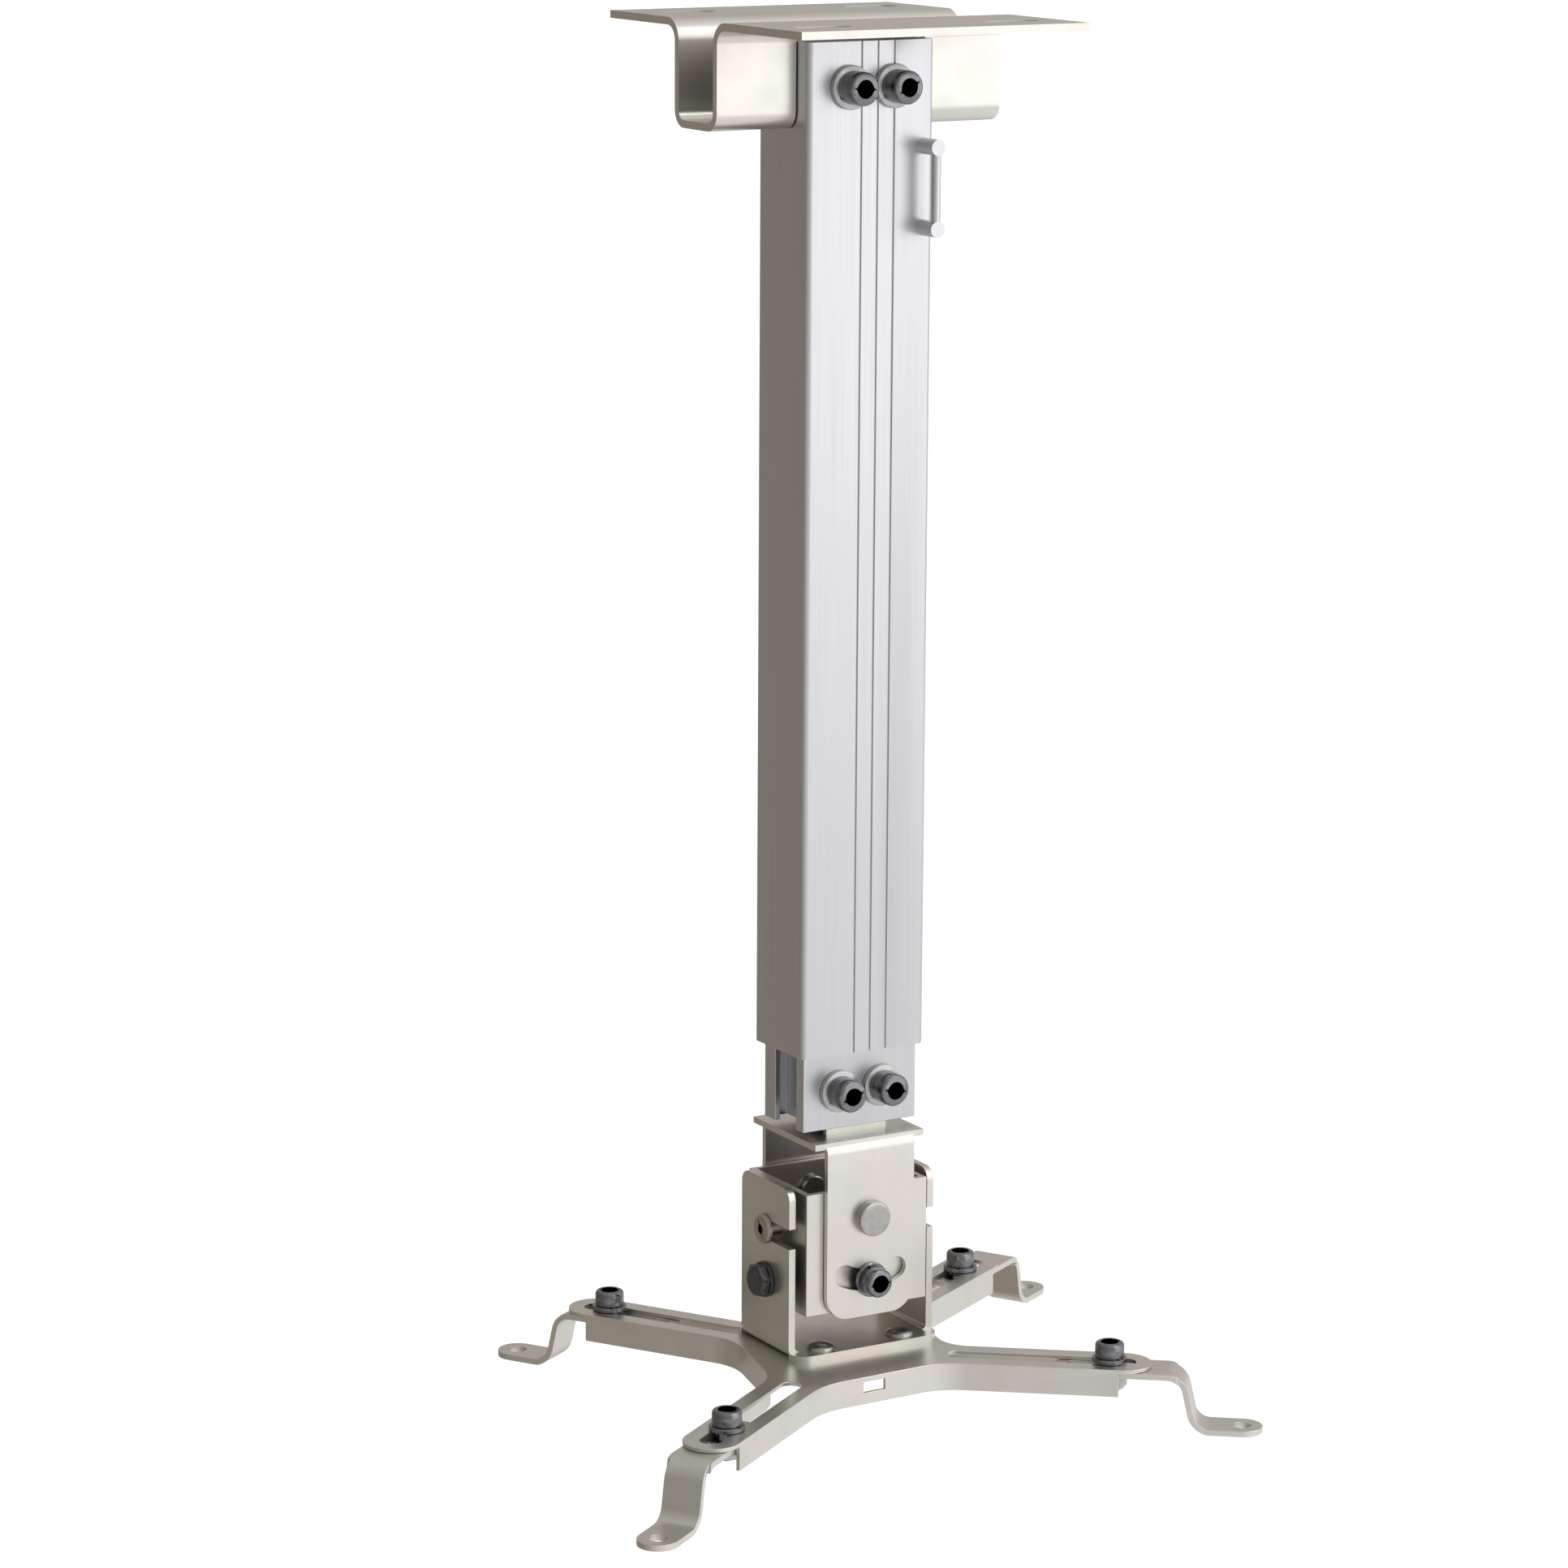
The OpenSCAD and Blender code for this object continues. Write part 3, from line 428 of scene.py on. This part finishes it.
@dataclass
class Pressing(Piece):
    """Sheet, bar or extrusion of the node's own shape, with its edges deburred."""

    edge: float = 0.35 * MM

    def build(self) -> bpy.types.Object:
        """Merges a copy of the node, joins its flat faces and breaks its edges.

        Returns:
            The piece's object.
        """
        mesh = bpy.data.meshes.new(f"{self.node}_piece")
        bm = bmesh.new()
        bm.from_mesh(frame["nodes"][self.node].data)
        bmesh.ops.remove_doubles(bm, verts=bm.verts, dist=MERGE)
        bmesh.ops.dissolve_limit(bm, angle_limit=FLAT, verts=bm.verts, edges=bm.edges)
        bm.to_mesh(mesh)
        bm.free()
        return finish_object(mesh, f"{self.node}_piece", self.edge)


@dataclass
class StepFoot(Pressing):
    """Stepped foot whose leg leans outwards a little, as one stroke of a press leaves it."""

    place: tuple = (0.0, 0.0)
    angle: float = 0.0
    lean: float = 2.0 * MM
    drop: float = 17.9 * MM
    sheet: float = 2.0 * MM
    run: float = 12.0 * MM
    pad_start: float = 10.0 * MM
    pad_free: float = 8.5 * MM

    def build(self) -> bpy.types.Object:
        """Moves the two bends apart along the arm; the slotted part and the pad's hole stay.

        Returns:
            The piece's object.
        """
        piece = super().build()
        _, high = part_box(self.node)
        along = Vector((math.cos(math.radians(self.angle)), math.sin(math.radians(self.angle)), 0))
        start = Vector((*self.place, high.z))
        for vertex in piece.data.vertices:
            offset = vertex.co - start
            vertex.co += along * self.shift(offset.dot(along), -offset.z)
        return piece

    def shift(self, out: float, depth: float) -> float:
        """Works out how far a point moves along the arm.

        Args:
            out: Its distance outwards from the start of the upper bend.
            depth: Its depth under the foot's top.

        Returns:
            Its way outwards, or inwards if it is negative.
        """
        if depth <= self.sheet * 1.01 and out <= 0:
            return -self.lean * self.share(1 + out / self.run)
        if depth >= self.drop * 0.99 and out >= self.pad_start - self.sheet:
            return self.lean * self.share(1 - (out - self.pad_start) / self.pad_free)
        return self.lean * (2 * self.share((depth - self.sheet / 2) / self.drop) - 1)

    def share(self, amount: float) -> float:
        """Returns an amount held between 0 and 1."""
        return min(1.0, max(0.0, amount))


class Outline(Enum):
    """Shape of a ring in a turned piece."""

    ROUND = "round"
    HEXAGON = "hexagon"


@dataclass(frozen=True)
class Ring:
    """One ring of a turned piece: how deep it lies, its radius and its outline."""

    depth: float
    radius: float
    outline: Outline = Outline.ROUND


# An M6 thread in millimetres: its radius, the distance and depth of its crests, and its tip.
M6 = 3.0
PITCH = 1.0
THREAD_DEPTH = 0.45
TIP = 0.7
# Radius of the corners of a 10 mm hexagon, a little rounded.
HEX_CORNER = 5.74


@dataclass
class Turned(Piece):
    """A piece turned about an axis, from its outer face inwards."""

    outward: tuple = (0, -1, 0)
    turn: float = 90.0
    hollow: bool = False
    sides: int = 30

    @abstractmethod
    def rings(self, length: float) -> list[Ring]:
        """Lists the rings in order, in millimetres.

        Args:
            length: Whole length of the node along its axis, in millimetres.

        Returns:
            The rings from the outer face inwards.
        """

    def build(self) -> bpy.types.Object:
        """Bridges the rings into one closed mesh and sets it on the node's axis.

        Returns:
            The piece's object.
        """
        low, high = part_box(self.node)
        axis = Vector(self.outward)
        reach = (high - low) * 0.5
        middle = (low + high) * 0.5
        half = abs(reach.dot(axis))
        bm = bmesh.new()
        loops = [self.loop(bm, ring) for ring in self.rings(2 * half / MM)]
        for near, far in zip(loops, loops[1:]):
            bmesh.ops.bridge_loops(bm, edges=near + far)
        if self.hollow:
            bmesh.ops.bridge_loops(bm, edges=loops[-1] + loops[0])
        else:
            for end in (loops[0], loops[-1]):
                bmesh.ops.edgeloop_fill(bm, edges=end)
        bmesh.ops.recalc_face_normals(bm, faces=bm.faces)
        swing = Vector((0, 0, 1)).rotation_difference(axis).to_matrix().to_4x4()
        spin = Matrix.Rotation(math.radians(self.turn), 4, "Z")
        scale = Matrix.Diagonal((MM, MM, MM, 1))
        bm.transform(Matrix.Translation(middle + axis * half) @ swing @ spin @ scale)
        mesh = bpy.data.meshes.new(f"{self.node}_piece")
        bm.to_mesh(mesh)
        bm.free()
        return finish_object(mesh, f"{self.node}_piece", 0)

    def loop(self, bm: bmesh.types.BMesh, ring: Ring) -> list[bmesh.types.BMEdge]:
        """Draws one ring.

        Args:
            bm: The mesh in the making.
            ring: The ring to draw.

        Returns:
            Its edges.
        """
        known = set(bm.edges)
        hexagon = ring.outline is Outline.HEXAGON
        bmesh.ops.create_circle(
            bm,
            radius=ring.radius,
            segments=6 if hexagon else self.sides,
            matrix=Matrix.Translation((0, 0, -ring.depth)),
        )
        if hexagon:
            bmesh.ops.subdivide_edges(
                bm, edges=[e for e in bm.edges if e not in known], cuts=self.sides // 6 - 1
            )
        return [e for e in bm.edges if e not in known]


def thread(start: float, end: float) -> list[Ring]:
    """Lists the rings of an M6 thread between two depths.

    Args:
        start: Depth of its first crest.
        end: Depth of its tip.

    Returns:
        Crests and roots in order, and a chamfered tip.
    """
    rings = []
    for step in range(int((end - start) / PITCH)):
        crest = start + step * PITCH
        rings += [Ring(crest, M6), Ring(crest + 0.5 * PITCH, M6 - THREAD_DEPTH)]
    return rings + [Ring(end - TIP, M6), Ring(end, M6 - TIP)]


@dataclass
class CapScrew(Turned):
    """Tall socket cap screw of the posts."""

    tail: float = 4.0
    head: float = 5.2
    seat: float = 7.6
    socket: float = 2.5
    socket_depth: float = 1.3

    def rings(self, length: float) -> list[Ring]:
        """Lists socket, head and threaded shank."""
        seat = [Ring(self.seat, self.head - 0.3), Ring(self.seat, M6)]
        return self.crown() + seat + self.shank(length)

    def crown(self) -> list[Ring]:
        """Lists the socket's wall and the head down to its seat.

        Returns:
            The rings from the socket's floor over the rim to the seat.
        """
        return [
            Ring(self.socket_depth, self.socket, Outline.HEXAGON),
            Ring(0.3, self.socket, Outline.HEXAGON),
            Ring(0.0, self.socket + 0.4),
            Ring(0.0, self.head - 0.9),
            Ring(0.25, self.head - 0.4),
            Ring(0.8, self.head - 0.05),
            Ring(self.seat - 0.6, self.head),
            Ring(self.seat - 0.15, self.head - 0.2),
        ]

    def shank(self, length: float) -> list[Ring]:
        """Lists the thread at the shank's end."""
        return thread(length - self.tail, length)


@dataclass
class CollarScrew(CapScrew):
    """Low socket cap screw with a collar that clamps a slot."""

    head: float = 4.7
    seat: float = 5.0
    collar: float = 5.6
    collar_height: float = 1.4

    def rings(self, length: float) -> list[Ring]:
        """Lists socket, head, collar and threaded shank.

        Args:
            length: Whole length of the node along its axis, in millimetres.

        Returns:
            The rings from the outer face inwards.
        """
        face = self.seat + self.collar_height
        skirt = [
            Ring(self.seat, self.head - 0.2),
            Ring(self.seat, self.collar - 0.3),
            Ring(self.seat + 0.25, self.collar),
            Ring(face - 0.2, self.collar),
            Ring(face, self.collar - 0.2),
            Ring(face, M6),
        ]
        return self.crown() + skirt + self.shank(length)


@dataclass
class HexBolt(Turned):
    """Pivot bolt with a hexagon head, a seat collar and a plain shank."""

    head: float = 3.2
    collar: float = 5.8
    seat: float = 4.2

    def rings(self, length: float) -> list[Ring]:
        """Lists the chamfered head, the collar and the shank.

        Args:
            length: Whole length of the node along its axis, in millimetres.

        Returns:
            The rings from the outer face inwards.
        """
        return [
            Ring(0.0, 3.4),
            Ring(0.0, 4.4),
            Ring(0.25, 4.85),
            Ring(0.7, HEX_CORNER, Outline.HEXAGON),
            Ring(self.head - 0.1, HEX_CORNER, Outline.HEXAGON),
            Ring(self.head, 5.0),
            Ring(self.head, self.collar - 0.2),
            Ring(self.head + 0.15, self.collar),
            Ring(self.seat - 0.1, self.collar),
            Ring(self.seat, self.collar - 0.2),
            Ring(self.seat, M6),
            Ring(length - 0.6, M6),
            Ring(length, M6 - 0.5),
        ]


@dataclass
class FlatScrew(Turned):
    """Low flat-headed lock screw with a shallow hexagon socket."""

    head: float = 4.8
    seat: float = 1.8
    neck: float = 2.5
    socket: float = 1.3

    def rings(self, length: float) -> list[Ring]:
        """Lists the socket, the low head and the shank.

        Args:
            length: Whole length of the node along its axis, in millimetres.

        Returns:
            The rings from the outer face inwards.
        """
        return [
            Ring(0.25, self.socket, Outline.HEXAGON),
            Ring(0.05, self.socket, Outline.HEXAGON),
            Ring(0.0, self.socket + 0.2),
            Ring(0.0, self.head - 0.9),
            Ring(0.3, self.head - 0.3),
            Ring(0.7, self.head),
            Ring(self.seat - 0.1, self.head),
            Ring(self.seat, self.head - 0.2),
            Ring(self.seat, self.neck),
            Ring(length - 0.5, self.neck),
            Ring(length, self.neck - 0.5),
        ]


@dataclass
class Washer(Turned):
    """Flat washer with rounded rims."""

    hollow: bool = True
    bore: float = 3.3
    rim: float = 6.8

    def rings(self, length: float) -> list[Ring]:
        """Lists the rims from the bore outwards and back.

        Args:
            length: Whole length of the node along its axis, in millimetres.

        Returns:
            The rings from the outer face inwards.
        """
        return [
            Ring(0.15, self.bore),
            Ring(0.0, self.bore + 0.2),
            Ring(0.0, self.rim - 0.35),
            Ring(0.12, self.rim - 0.1),
            Ring(0.35, self.rim),
            Ring(length - 0.35, self.rim),
            Ring(length - 0.12, self.rim - 0.1),
            Ring(length, self.rim - 0.35),
            Ring(length, self.bore + 0.2),
            Ring(length - 0.15, self.bore),
        ]


@dataclass
class Nut(Turned):
    """Hexagon nut, chamfered on both faces."""

    hollow: bool = True
    bore: float = 3.3
    face: float = 4.75

    def rings(self, length: float) -> list[Ring]:
        """Lists the chamfers and flats from the bore outwards and back.

        Args:
            length: Whole length of the node along its axis, in millimetres.

        Returns:
            The rings from the outer face inwards.
        """
        return [
            Ring(0.5, self.bore),
            Ring(0.0, self.bore + 0.45),
            Ring(0.0, self.face),
            Ring(0.6, HEX_CORNER, Outline.HEXAGON),
            Ring(length - 0.6, HEX_CORNER, Outline.HEXAGON),
            Ring(length, self.face),
            Ring(length, self.bore + 0.45),
            Ring(length - 0.5, self.bore),
        ]


@dataclass
class DiscRivet(Turned):
    """Pivot rivet of the roll joint, with a flat disc head and a small inner head."""

    sides: int = 48
    disc: float = 5.7
    seat: float = 3.2
    neck: float = 3.0
    inner: float = 4.5
    inner_height: float = 1.6

    def rings(self, length: float) -> list[Ring]:
        """Lists the disc with its rounded rim, the shank and the inner head.

        Args:
            length: Whole length of the node along its axis, in millimetres.

        Returns:
            The rings from the outer face inwards.
        """
        return [
            Ring(0.0, self.disc - 1.1),
            Ring(0.06, self.disc - 0.6),
            Ring(0.25, self.disc - 0.2),
            Ring(0.6, self.disc),
            Ring(self.seat - 0.2, self.disc),
            Ring(self.seat, self.disc - 0.2),
            Ring(self.seat, self.neck),
            Ring(length - self.inner_height, self.neck),
            Ring(length - self.inner_height, self.inner - 0.1),
            Ring(length - 0.3, self.inner),
            Ring(length, self.inner - 0.4),
        ]


@dataclass
class ClinchRivet(Turned):
    """Rivet that ties the cradle to the arms: a low round head and a flat tail."""

    head: float = 4.5
    seat: float = 1.8
    neck: float = 2.0
    tail: float = 3.5
    tail_height: float = 1.8

    def rings(self, length: float) -> list[Ring]:
        """Lists the crowned head, the shank and the tail.

        Args:
            length: Whole length of the node along its axis, in millimetres.

        Returns:
            The rings from the outer face inwards.
        """
        return [
            Ring(0.0, 1.2),
            Ring(0.15, 2.6),
            Ring(0.5, 3.7),
            Ring(1.0, self.head - 0.2),
            Ring(self.seat, self.head),
            Ring(self.seat, self.neck),
            Ring(length - self.tail_height, self.neck),
            Ring(length - self.tail_height, self.tail - 0.1),
            Ring(length - 0.5, self.tail),
            Ring(length, self.tail - 0.6),
        ]


@dataclass
class Assembly(ABC):
    """A group of pieces that is built together."""

    front: tuple = (0, -1, 0)
    back: tuple = (0, 1, 0)
    left: tuple = (-1, 0, 0)
    right: tuple = (1, 0, 0)
    up: tuple = (0, 0, 1)

    @abstractmethod
    def pieces(self) -> list[Piece]:
        """Lists the group's pieces."""

    def dress(self) -> None:
        """Builds and dresses every piece of the group."""
        for piece in self.pieces():
            piece.dress()
        LOG.info("%s is dressed", type(self).__name__)


@dataclass
class CeilingGroup(Assembly):
    """Bracket, outer post, cable loop and the upper hardware."""

    post_edge: float = 0.2 * MM
    socket_turns: tuple = (("left", 72.0), ("right", 101.0))

    def pieces(self) -> list[Piece]:
        """Lists the fixed upper pieces.

        Returns:
            The pieces in the order that they are built.
        """
        made: list[Piece] = [
            Pressing("ceiling_bracket", SHEET),
            Pressing("outer_post", POST, self.post_edge),
            Pressing("cable_loop", POST, self.post_edge),
        ]
        for side, turn in self.socket_turns:
            made += [
                CapScrew(f"upper_bolt_{side}", SCREW, self.front, turn),
                Washer(f"upper_washer_{side}", ZINC, self.front),
                Nut(f"upper_nut_{side}", ZINC, self.back),
            ]
        return made


@dataclass
class DropGroup(Assembly):
    """Inner post with its lower hardware, the yoke and the roll rivets."""

    post_edge: float = 0.2 * MM
    socket_turns: tuple = (("left", 94.0), ("right", 66.0))

    def pieces(self) -> list[Piece]:
        """Lists the pieces that slide with the inner post.

        Returns:
            The pieces in the order that they are built.
        """
        made: list[Piece] = [
            Pressing("inner_post", POST, self.post_edge),
            Pressing("head_yoke", SHEET),
            DiscRivet("roll_rivet_front", RIVET, self.front),
            DiscRivet("roll_rivet_back", RIVET, self.back),
        ]
        for side, turn in self.socket_turns:
            made += [
                CapScrew(f"lower_bolt_{side}", SCREW, self.front, turn),
                Washer(f"lower_washer_{side}", ZINC, self.front),
                Nut(f"lower_nut_{side}", ZINC, self.back),
            ]
        return made


@dataclass
class TiltGroup(Assembly):
    """Tilting block with its lock bolts, pivot bolts and lock screws."""

    def pieces(self) -> list[Piece]:
        """Lists the pieces that roll with the block.

        Returns:
            The pieces in the order that they are built.
        """
        return [
            Pressing("tilt_block", SHEET),
            CollarScrew("roll_lock_bolt_front", SCREW, self.front, 80),
            CollarScrew("roll_lock_bolt_back", SCREW, self.back, 97),
            HexBolt("pitch_bolt_left", PIVOT, self.left, 12),
            HexBolt("pitch_bolt_right", PIVOT, self.right, 0),
            FlatScrew("pitch_lock_screw_left", LOCK, self.left),
            FlatScrew("pitch_lock_screw_right", LOCK, self.right),
        ]


@dataclass
class BaseGroup(Assembly):
    """Cradle, arm spider and the rivets that tie them."""

    def pieces(self) -> list[Piece]:
        """Lists the pieces that pitch with the cradle.

        Returns:
            The pieces in the order that they are built.
        """
        made: list[Piece] = [Pressing("base_cradle", SHEET), Pressing("arm_spider", SHEET)]
        for depth in ("front", "back"):
            for side in ("left", "right"):
                made.append(ClinchRivet(f"base_rivet_{depth}_{side}", RIVET, self.up))
        return made


@dataclass(frozen=True)
class Arm:
    """Where an arm starts, in millimetres, its direction, its foot's bend and its screw's turn."""

    name: str
    root_x: float
    root_y: float
    angle: float
    bend: float
    turn: float

    def bend_place(self) -> tuple[float, float]:
        """Works out where the foot's upper bend starts.

        Returns:
            Its X and Y in metres.
        """
        turn = math.radians(self.angle)
        return (
            (self.root_x + self.bend * math.cos(turn)) * MM,
            (self.root_y + self.bend * math.sin(turn)) * MM,
        )


@dataclass
class FootGroup(Assembly):
    """The four sliding feet with their screws and nuts."""

    arms: tuple = (
        Arm("left", -15.5, 44.5, 122.0, 79.5, 40),
        Arm("front_left", -22.5, 15.5, 214.5, 90.5, 83),
        Arm("right", 8.0, 17.0, 322.5, 88.5, 65),
        Arm("back_right", 15.0, 48.0, 30.0, 93.0, 20),
    )

    def pieces(self) -> list[Piece]:
        """Lists each arm's foot, screw and nut; each screw's socket is turned its own way.

        Returns:
            The pieces in the order that they are built.
        """
        made: list[Piece] = []
        for arm in self.arms:
            made += [
                StepFoot(f"foot_{arm.name}", SHEET, place=arm.bend_place(), angle=arm.angle),
                CollarScrew(f"foot_bolt_{arm.name}", SCREW, self.up, arm.turn),
                Nut(f"foot_nut_{arm.name}", ZINC, self.up, arm.turn, bore=3.08),
            ]
        return made


@dataclass(frozen=True)
class Softbox:
    """A square lamp: its direction and distance from the mount's middle, its side and its watts."""

    name: str
    direction: tuple
    distance: float
    size: float
    power: float

    def hang(self, middle: tuple) -> None:
        """Hangs the lamp so that it looks at the mount's middle.

        Args:
            middle: The point that it looks at.
        """
        light = bpy.data.lights.new(self.name, "AREA")
        light.shape = "SQUARE"
        light.size = self.size
        light.energy = self.power
        lamp = bpy.data.objects.new(self.name, light)
        bpy.context.scene.collection.objects.link(lamp)
        towards = Vector(self.direction).normalized()
        lamp.location = Vector(middle) + towards * self.distance
        lamp.rotation_euler = towards.to_track_quat("Z", "Y").to_euler()


@dataclass
class Studio:
    """White floor, soft light from the front right, and the camera of the photo.

    The floor lies low enough for the mount to be pulled out and tilted above it. To glossy rays it
    shows a painted reflection of the room, and its glow carries painted shade under the mount.
    """

    floor_height: float = -0.72
    floor_reach: float = 14.0
    paper_colour: str = "#f2f2f2"
    paper_roughness: float = 0.9
    lift: tuple = (0.42, 0.6)
    lift_reach: tuple = (0.6, 3.0)
    cover_reach: float = 50 * MM
    cover_samples: int = 8
    lift_painted_shade_range: tuple = (0.5, 0.9)
    reflection_painted_shade_range: tuple = (0.55, 0.95)
    reflection_painted_shade_least: float = 0.1
    camera_place: tuple = (-0.8185, -1.3171, 0.0974)
    camera_back: tuple = (-0.4954, -0.8434, 0.2081)
    camera_roll: float = 0.316
    camera_sight: float = 60.0
    lens: float = 118.06
    sensor: float = 36.0
    middle: tuple = (0.0, AXIS_Y, -0.2)
    lamps: tuple = (
        Softbox("key_softbox", (0.55, -0.72, 0.32), 1.9, 2.2, 12.5),
        Softbox("glint_strip", (0.35, -0.5, 0.79), 1.8, 0.3, 1.6),
        Softbox("top_softbox", (0.1, -0.2, 1.0), 1.6, 1.8, 1.5),
    )
    dark_room: tuple = (0.285, 0.25, 0.205, 1.0)
    bright_side: tuple = (0.64, -0.59, 0.49)
    darkest: float = -1.1
    painted_reflection_full: float = 0.8
    brightest_sky: float = 1.85

    def build(self) -> None:
        """Builds the floor, the light and the camera."""
        self.floor()
        self.sky()
        for lamp in self.lamps:
            lamp.hang(self.middle)
        self.camera()
        LOG.info("studio is built")

    def floor(self) -> None:
        """Lays a pale floor that keeps the shadow and reads white to the camera."""
        bm = bmesh.new()
        bmesh.ops.create_grid(
            bm,
            x_segments=8,
            y_segments=8,
            size=self.floor_reach,
            matrix=Matrix.Translation((0, 0, self.floor_height)),
        )
        mesh = bpy.data.meshes.new("studio_floor")
        bm.to_mesh(mesh)
        bm.free()
        floor = bpy.data.objects.new("studio_floor", mesh)
        bpy.context.scene.collection.objects.link(floor)
        mesh.materials.append(self.paper())

    def side(
        self, tree: bpy.types.NodeTree, towards: bpy.types.NodeSocket, full: float
    ) -> bpy.types.NodeSocket:
        """Returns the room's colour: the white backdrop, falling off away from the bright side.

        Args:
            tree: The tree that gets the nodes.
            towards: A direction from the mount.
            full: Cosine to the bright side at which the backdrop is white.

        Returns:
            The colour of the room's light there, which also serves as the paper's painted
            reflection.
        """
        unit = add_node(tree, "ShaderNodeVectorMath", {"operation": "NORMALIZE"}, {0: towards})
        facing = add_node(
            tree,
            "ShaderNodeVectorMath",
            {"operation": "DOT_PRODUCT", 1: tuple(Vector(self.bright_side).normalized())},
            {0: unit.outputs[0]},
        )
        amount = add_node(
            tree,
            "ShaderNodeMapRange",
            {
                "interpolation_type": "SMOOTHSTEP",
                "From Min": self.darkest,
                "From Max": full,
            },
            {"Value": facing.outputs["Value"]},
        )
        room = add_node(
            tree,
            "ShaderNodeMix",
            {"data_type": "RGBA", 6: self.dark_room, 7: WHITE},
            {0: amount.outputs["Result"]},
        )
        return room.outputs[2]

    def paper(self) -> bpy.types.Material:
        """Makes the floor's paper: white to the camera, and to glossy rays a glow that paints the
        room's reflection, with painted shade near the mount.

        Returns:
            The paper's material.
        """
        paper = bpy.data.materials.new("matt_white_paper")
        paper.use_nodes = True
        tree = paper.node_tree
        shader = tree.nodes["Principled BSDF"]
        shader.inputs["Base Color"].default_value = linear(self.paper_colour)
        shader.inputs["Roughness"].default_value = self.paper_roughness
        source = add_node(tree, "ShaderNodeTexCoord")
        # The paper's own light grows with the distance from the mount, where no shadow falls.
        far = add_node(
            tree, "ShaderNodeVectorMath", {"operation": "LENGTH"}, {0: source.outputs["Object"]}
        )
        strength = add_node(
            tree,
            "ShaderNodeMapRange",
            {
                "From Min": self.lift_reach[0],
                "From Max": self.lift_reach[1],
                "To Min": self.lift[0],
                "To Max": self.lift[1],
            },
            {"Value": far.outputs["Value"]},
        )
        # It loses that light where a foot of the pulled-out mount comes within 50 mm of it: a
        # painted shade on the floor, taken from ambient occlusion.
        covered = add_node(
            tree,
            "ShaderNodeAmbientOcclusion",
            {"Distance": self.cover_reach, "samples": self.cover_samples},
        )
        painted_shade_mask = add_node(
            tree,
            "ShaderNodeMapRange",
            {"From Min": self.lift_painted_shade_range[0], "From Max": self.lift_painted_shade_range[1]},
            {"Value": covered.outputs["AO"]},
        )
        lift = add_node(
            tree,
            "ShaderNodeEmission",
            None,
            {"Color": painted_shade_mask.outputs["Result"], "Strength": strength.outputs["Result"]},
        )
        both = add_node(
            tree, "ShaderNodeAddShader", None, {0: shader.outputs[0], 1: lift.outputs[0]}
        )
        # To glossy rays the paper is a glow, a painted reflection of the room picked by the side it
        # lies on, so heights are left out: white towards the bright side and warm dark away from
        # it. Within 50 mm of the mount the glow is dimmed into painted shade.
        level = add_node(
            tree,
            "ShaderNodeMapping",
            {"Location": (0, -AXIS_Y, 0), "Scale": (1, 1, 0)},
            {"Vector": source.outputs["Object"]},
        )
        shade = add_node(
            tree,
            "ShaderNodeMapRange",
            {
                "From Min": self.reflection_painted_shade_range[0],
                "From Max": self.reflection_painted_shade_range[1],
                "To Min": self.reflection_painted_shade_least,
            },
            {"Value": covered.outputs["AO"]},
        )
        painted_reflection = add_node(
            tree,
            "ShaderNodeEmission",
            None,
            {
                "Color": self.side(tree, level.outputs["Vector"], self.painted_reflection_full),
                "Strength": shade.outputs["Result"],
            },
        )
        seen = add_node(tree, "ShaderNodeLightPath")
        # Glossy rays see the painted reflection instead of the lit paper.
        with_painted_reflection = add_node(
            tree,
            "ShaderNodeMixShader",
            None,
            {0: seen.outputs["Is Glossy Ray"], 1: shader.outputs[0], 2: painted_reflection.outputs[0]},
        )
        pick = add_node(
            tree,
            "ShaderNodeMixShader",
            None,
            {0: seen.outputs["Is Camera Ray"], 1: with_painted_reflection.outputs[0], 2: both.outputs[0]},
        )
        tree.links.new(pick.outputs[0], tree.nodes["Material Output"].inputs["Surface"])
        return paper

    def sky(self) -> None:
        """Lights the room, brighter at the front right, and shows white to the camera."""
        world = bpy.data.worlds.new("studio_air")
        bpy.context.scene.world = world
        world.use_nodes = True
        tree = world.node_tree
        background = tree.nodes["Background"]
        source = add_node(tree, "ShaderNodeTexCoord")
        room = self.side(tree, source.outputs["Generated"], self.brightest_sky)
        tree.links.new(room, background.inputs["Color"])
        white = add_node(tree, "ShaderNodeBackground", {"Color": WHITE, "Strength": 1.0})
        seen = add_node(tree, "ShaderNodeLightPath")
        pick = add_node(
            tree,
            "ShaderNodeMixShader",
            None,
            {0: seen.outputs["Is Camera Ray"], 1: background.outputs[0], 2: white.outputs[0]},
        )
        tree.links.new(pick.outputs[0], tree.nodes["World Output"].inputs["Surface"])

    def camera(self) -> None:
        """Sets the camera where the photo was taken from."""
        data = bpy.data.cameras.new("photo_camera")
        data.lens = self.lens
        data.sensor_width = self.sensor
        data.clip_end = self.camera_sight
        camera = bpy.data.objects.new("photo_camera", data)
        bpy.context.scene.collection.objects.link(camera)
        back = Vector(self.camera_back).normalized()
        right = Vector((0, 0, 1)).cross(back).normalized()
        turned = Matrix.Rotation(math.radians(self.camera_roll), 3, back)
        right = turned @ right
        up = back.cross(right)
        axes = Matrix((right, up, back)).transposed().to_4x4()
        camera.matrix_world = Matrix.Translation(self.camera_place) @ axes
        bpy.context.scene.camera = camera


def main() -> None:
    """Builds the mount's groups and the studio."""
    logging.basicConfig(level=logging.INFO)
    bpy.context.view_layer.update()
    bpy.context.scene.view_settings.view_transform = "Standard"
    for group in (CeilingGroup(), DropGroup(), TiltGroup(), BaseGroup(), FootGroup()):
        group.dress()
    Studio().build()
    bpy.context.view_layer.update()


if __name__ == "__main__":
    main()
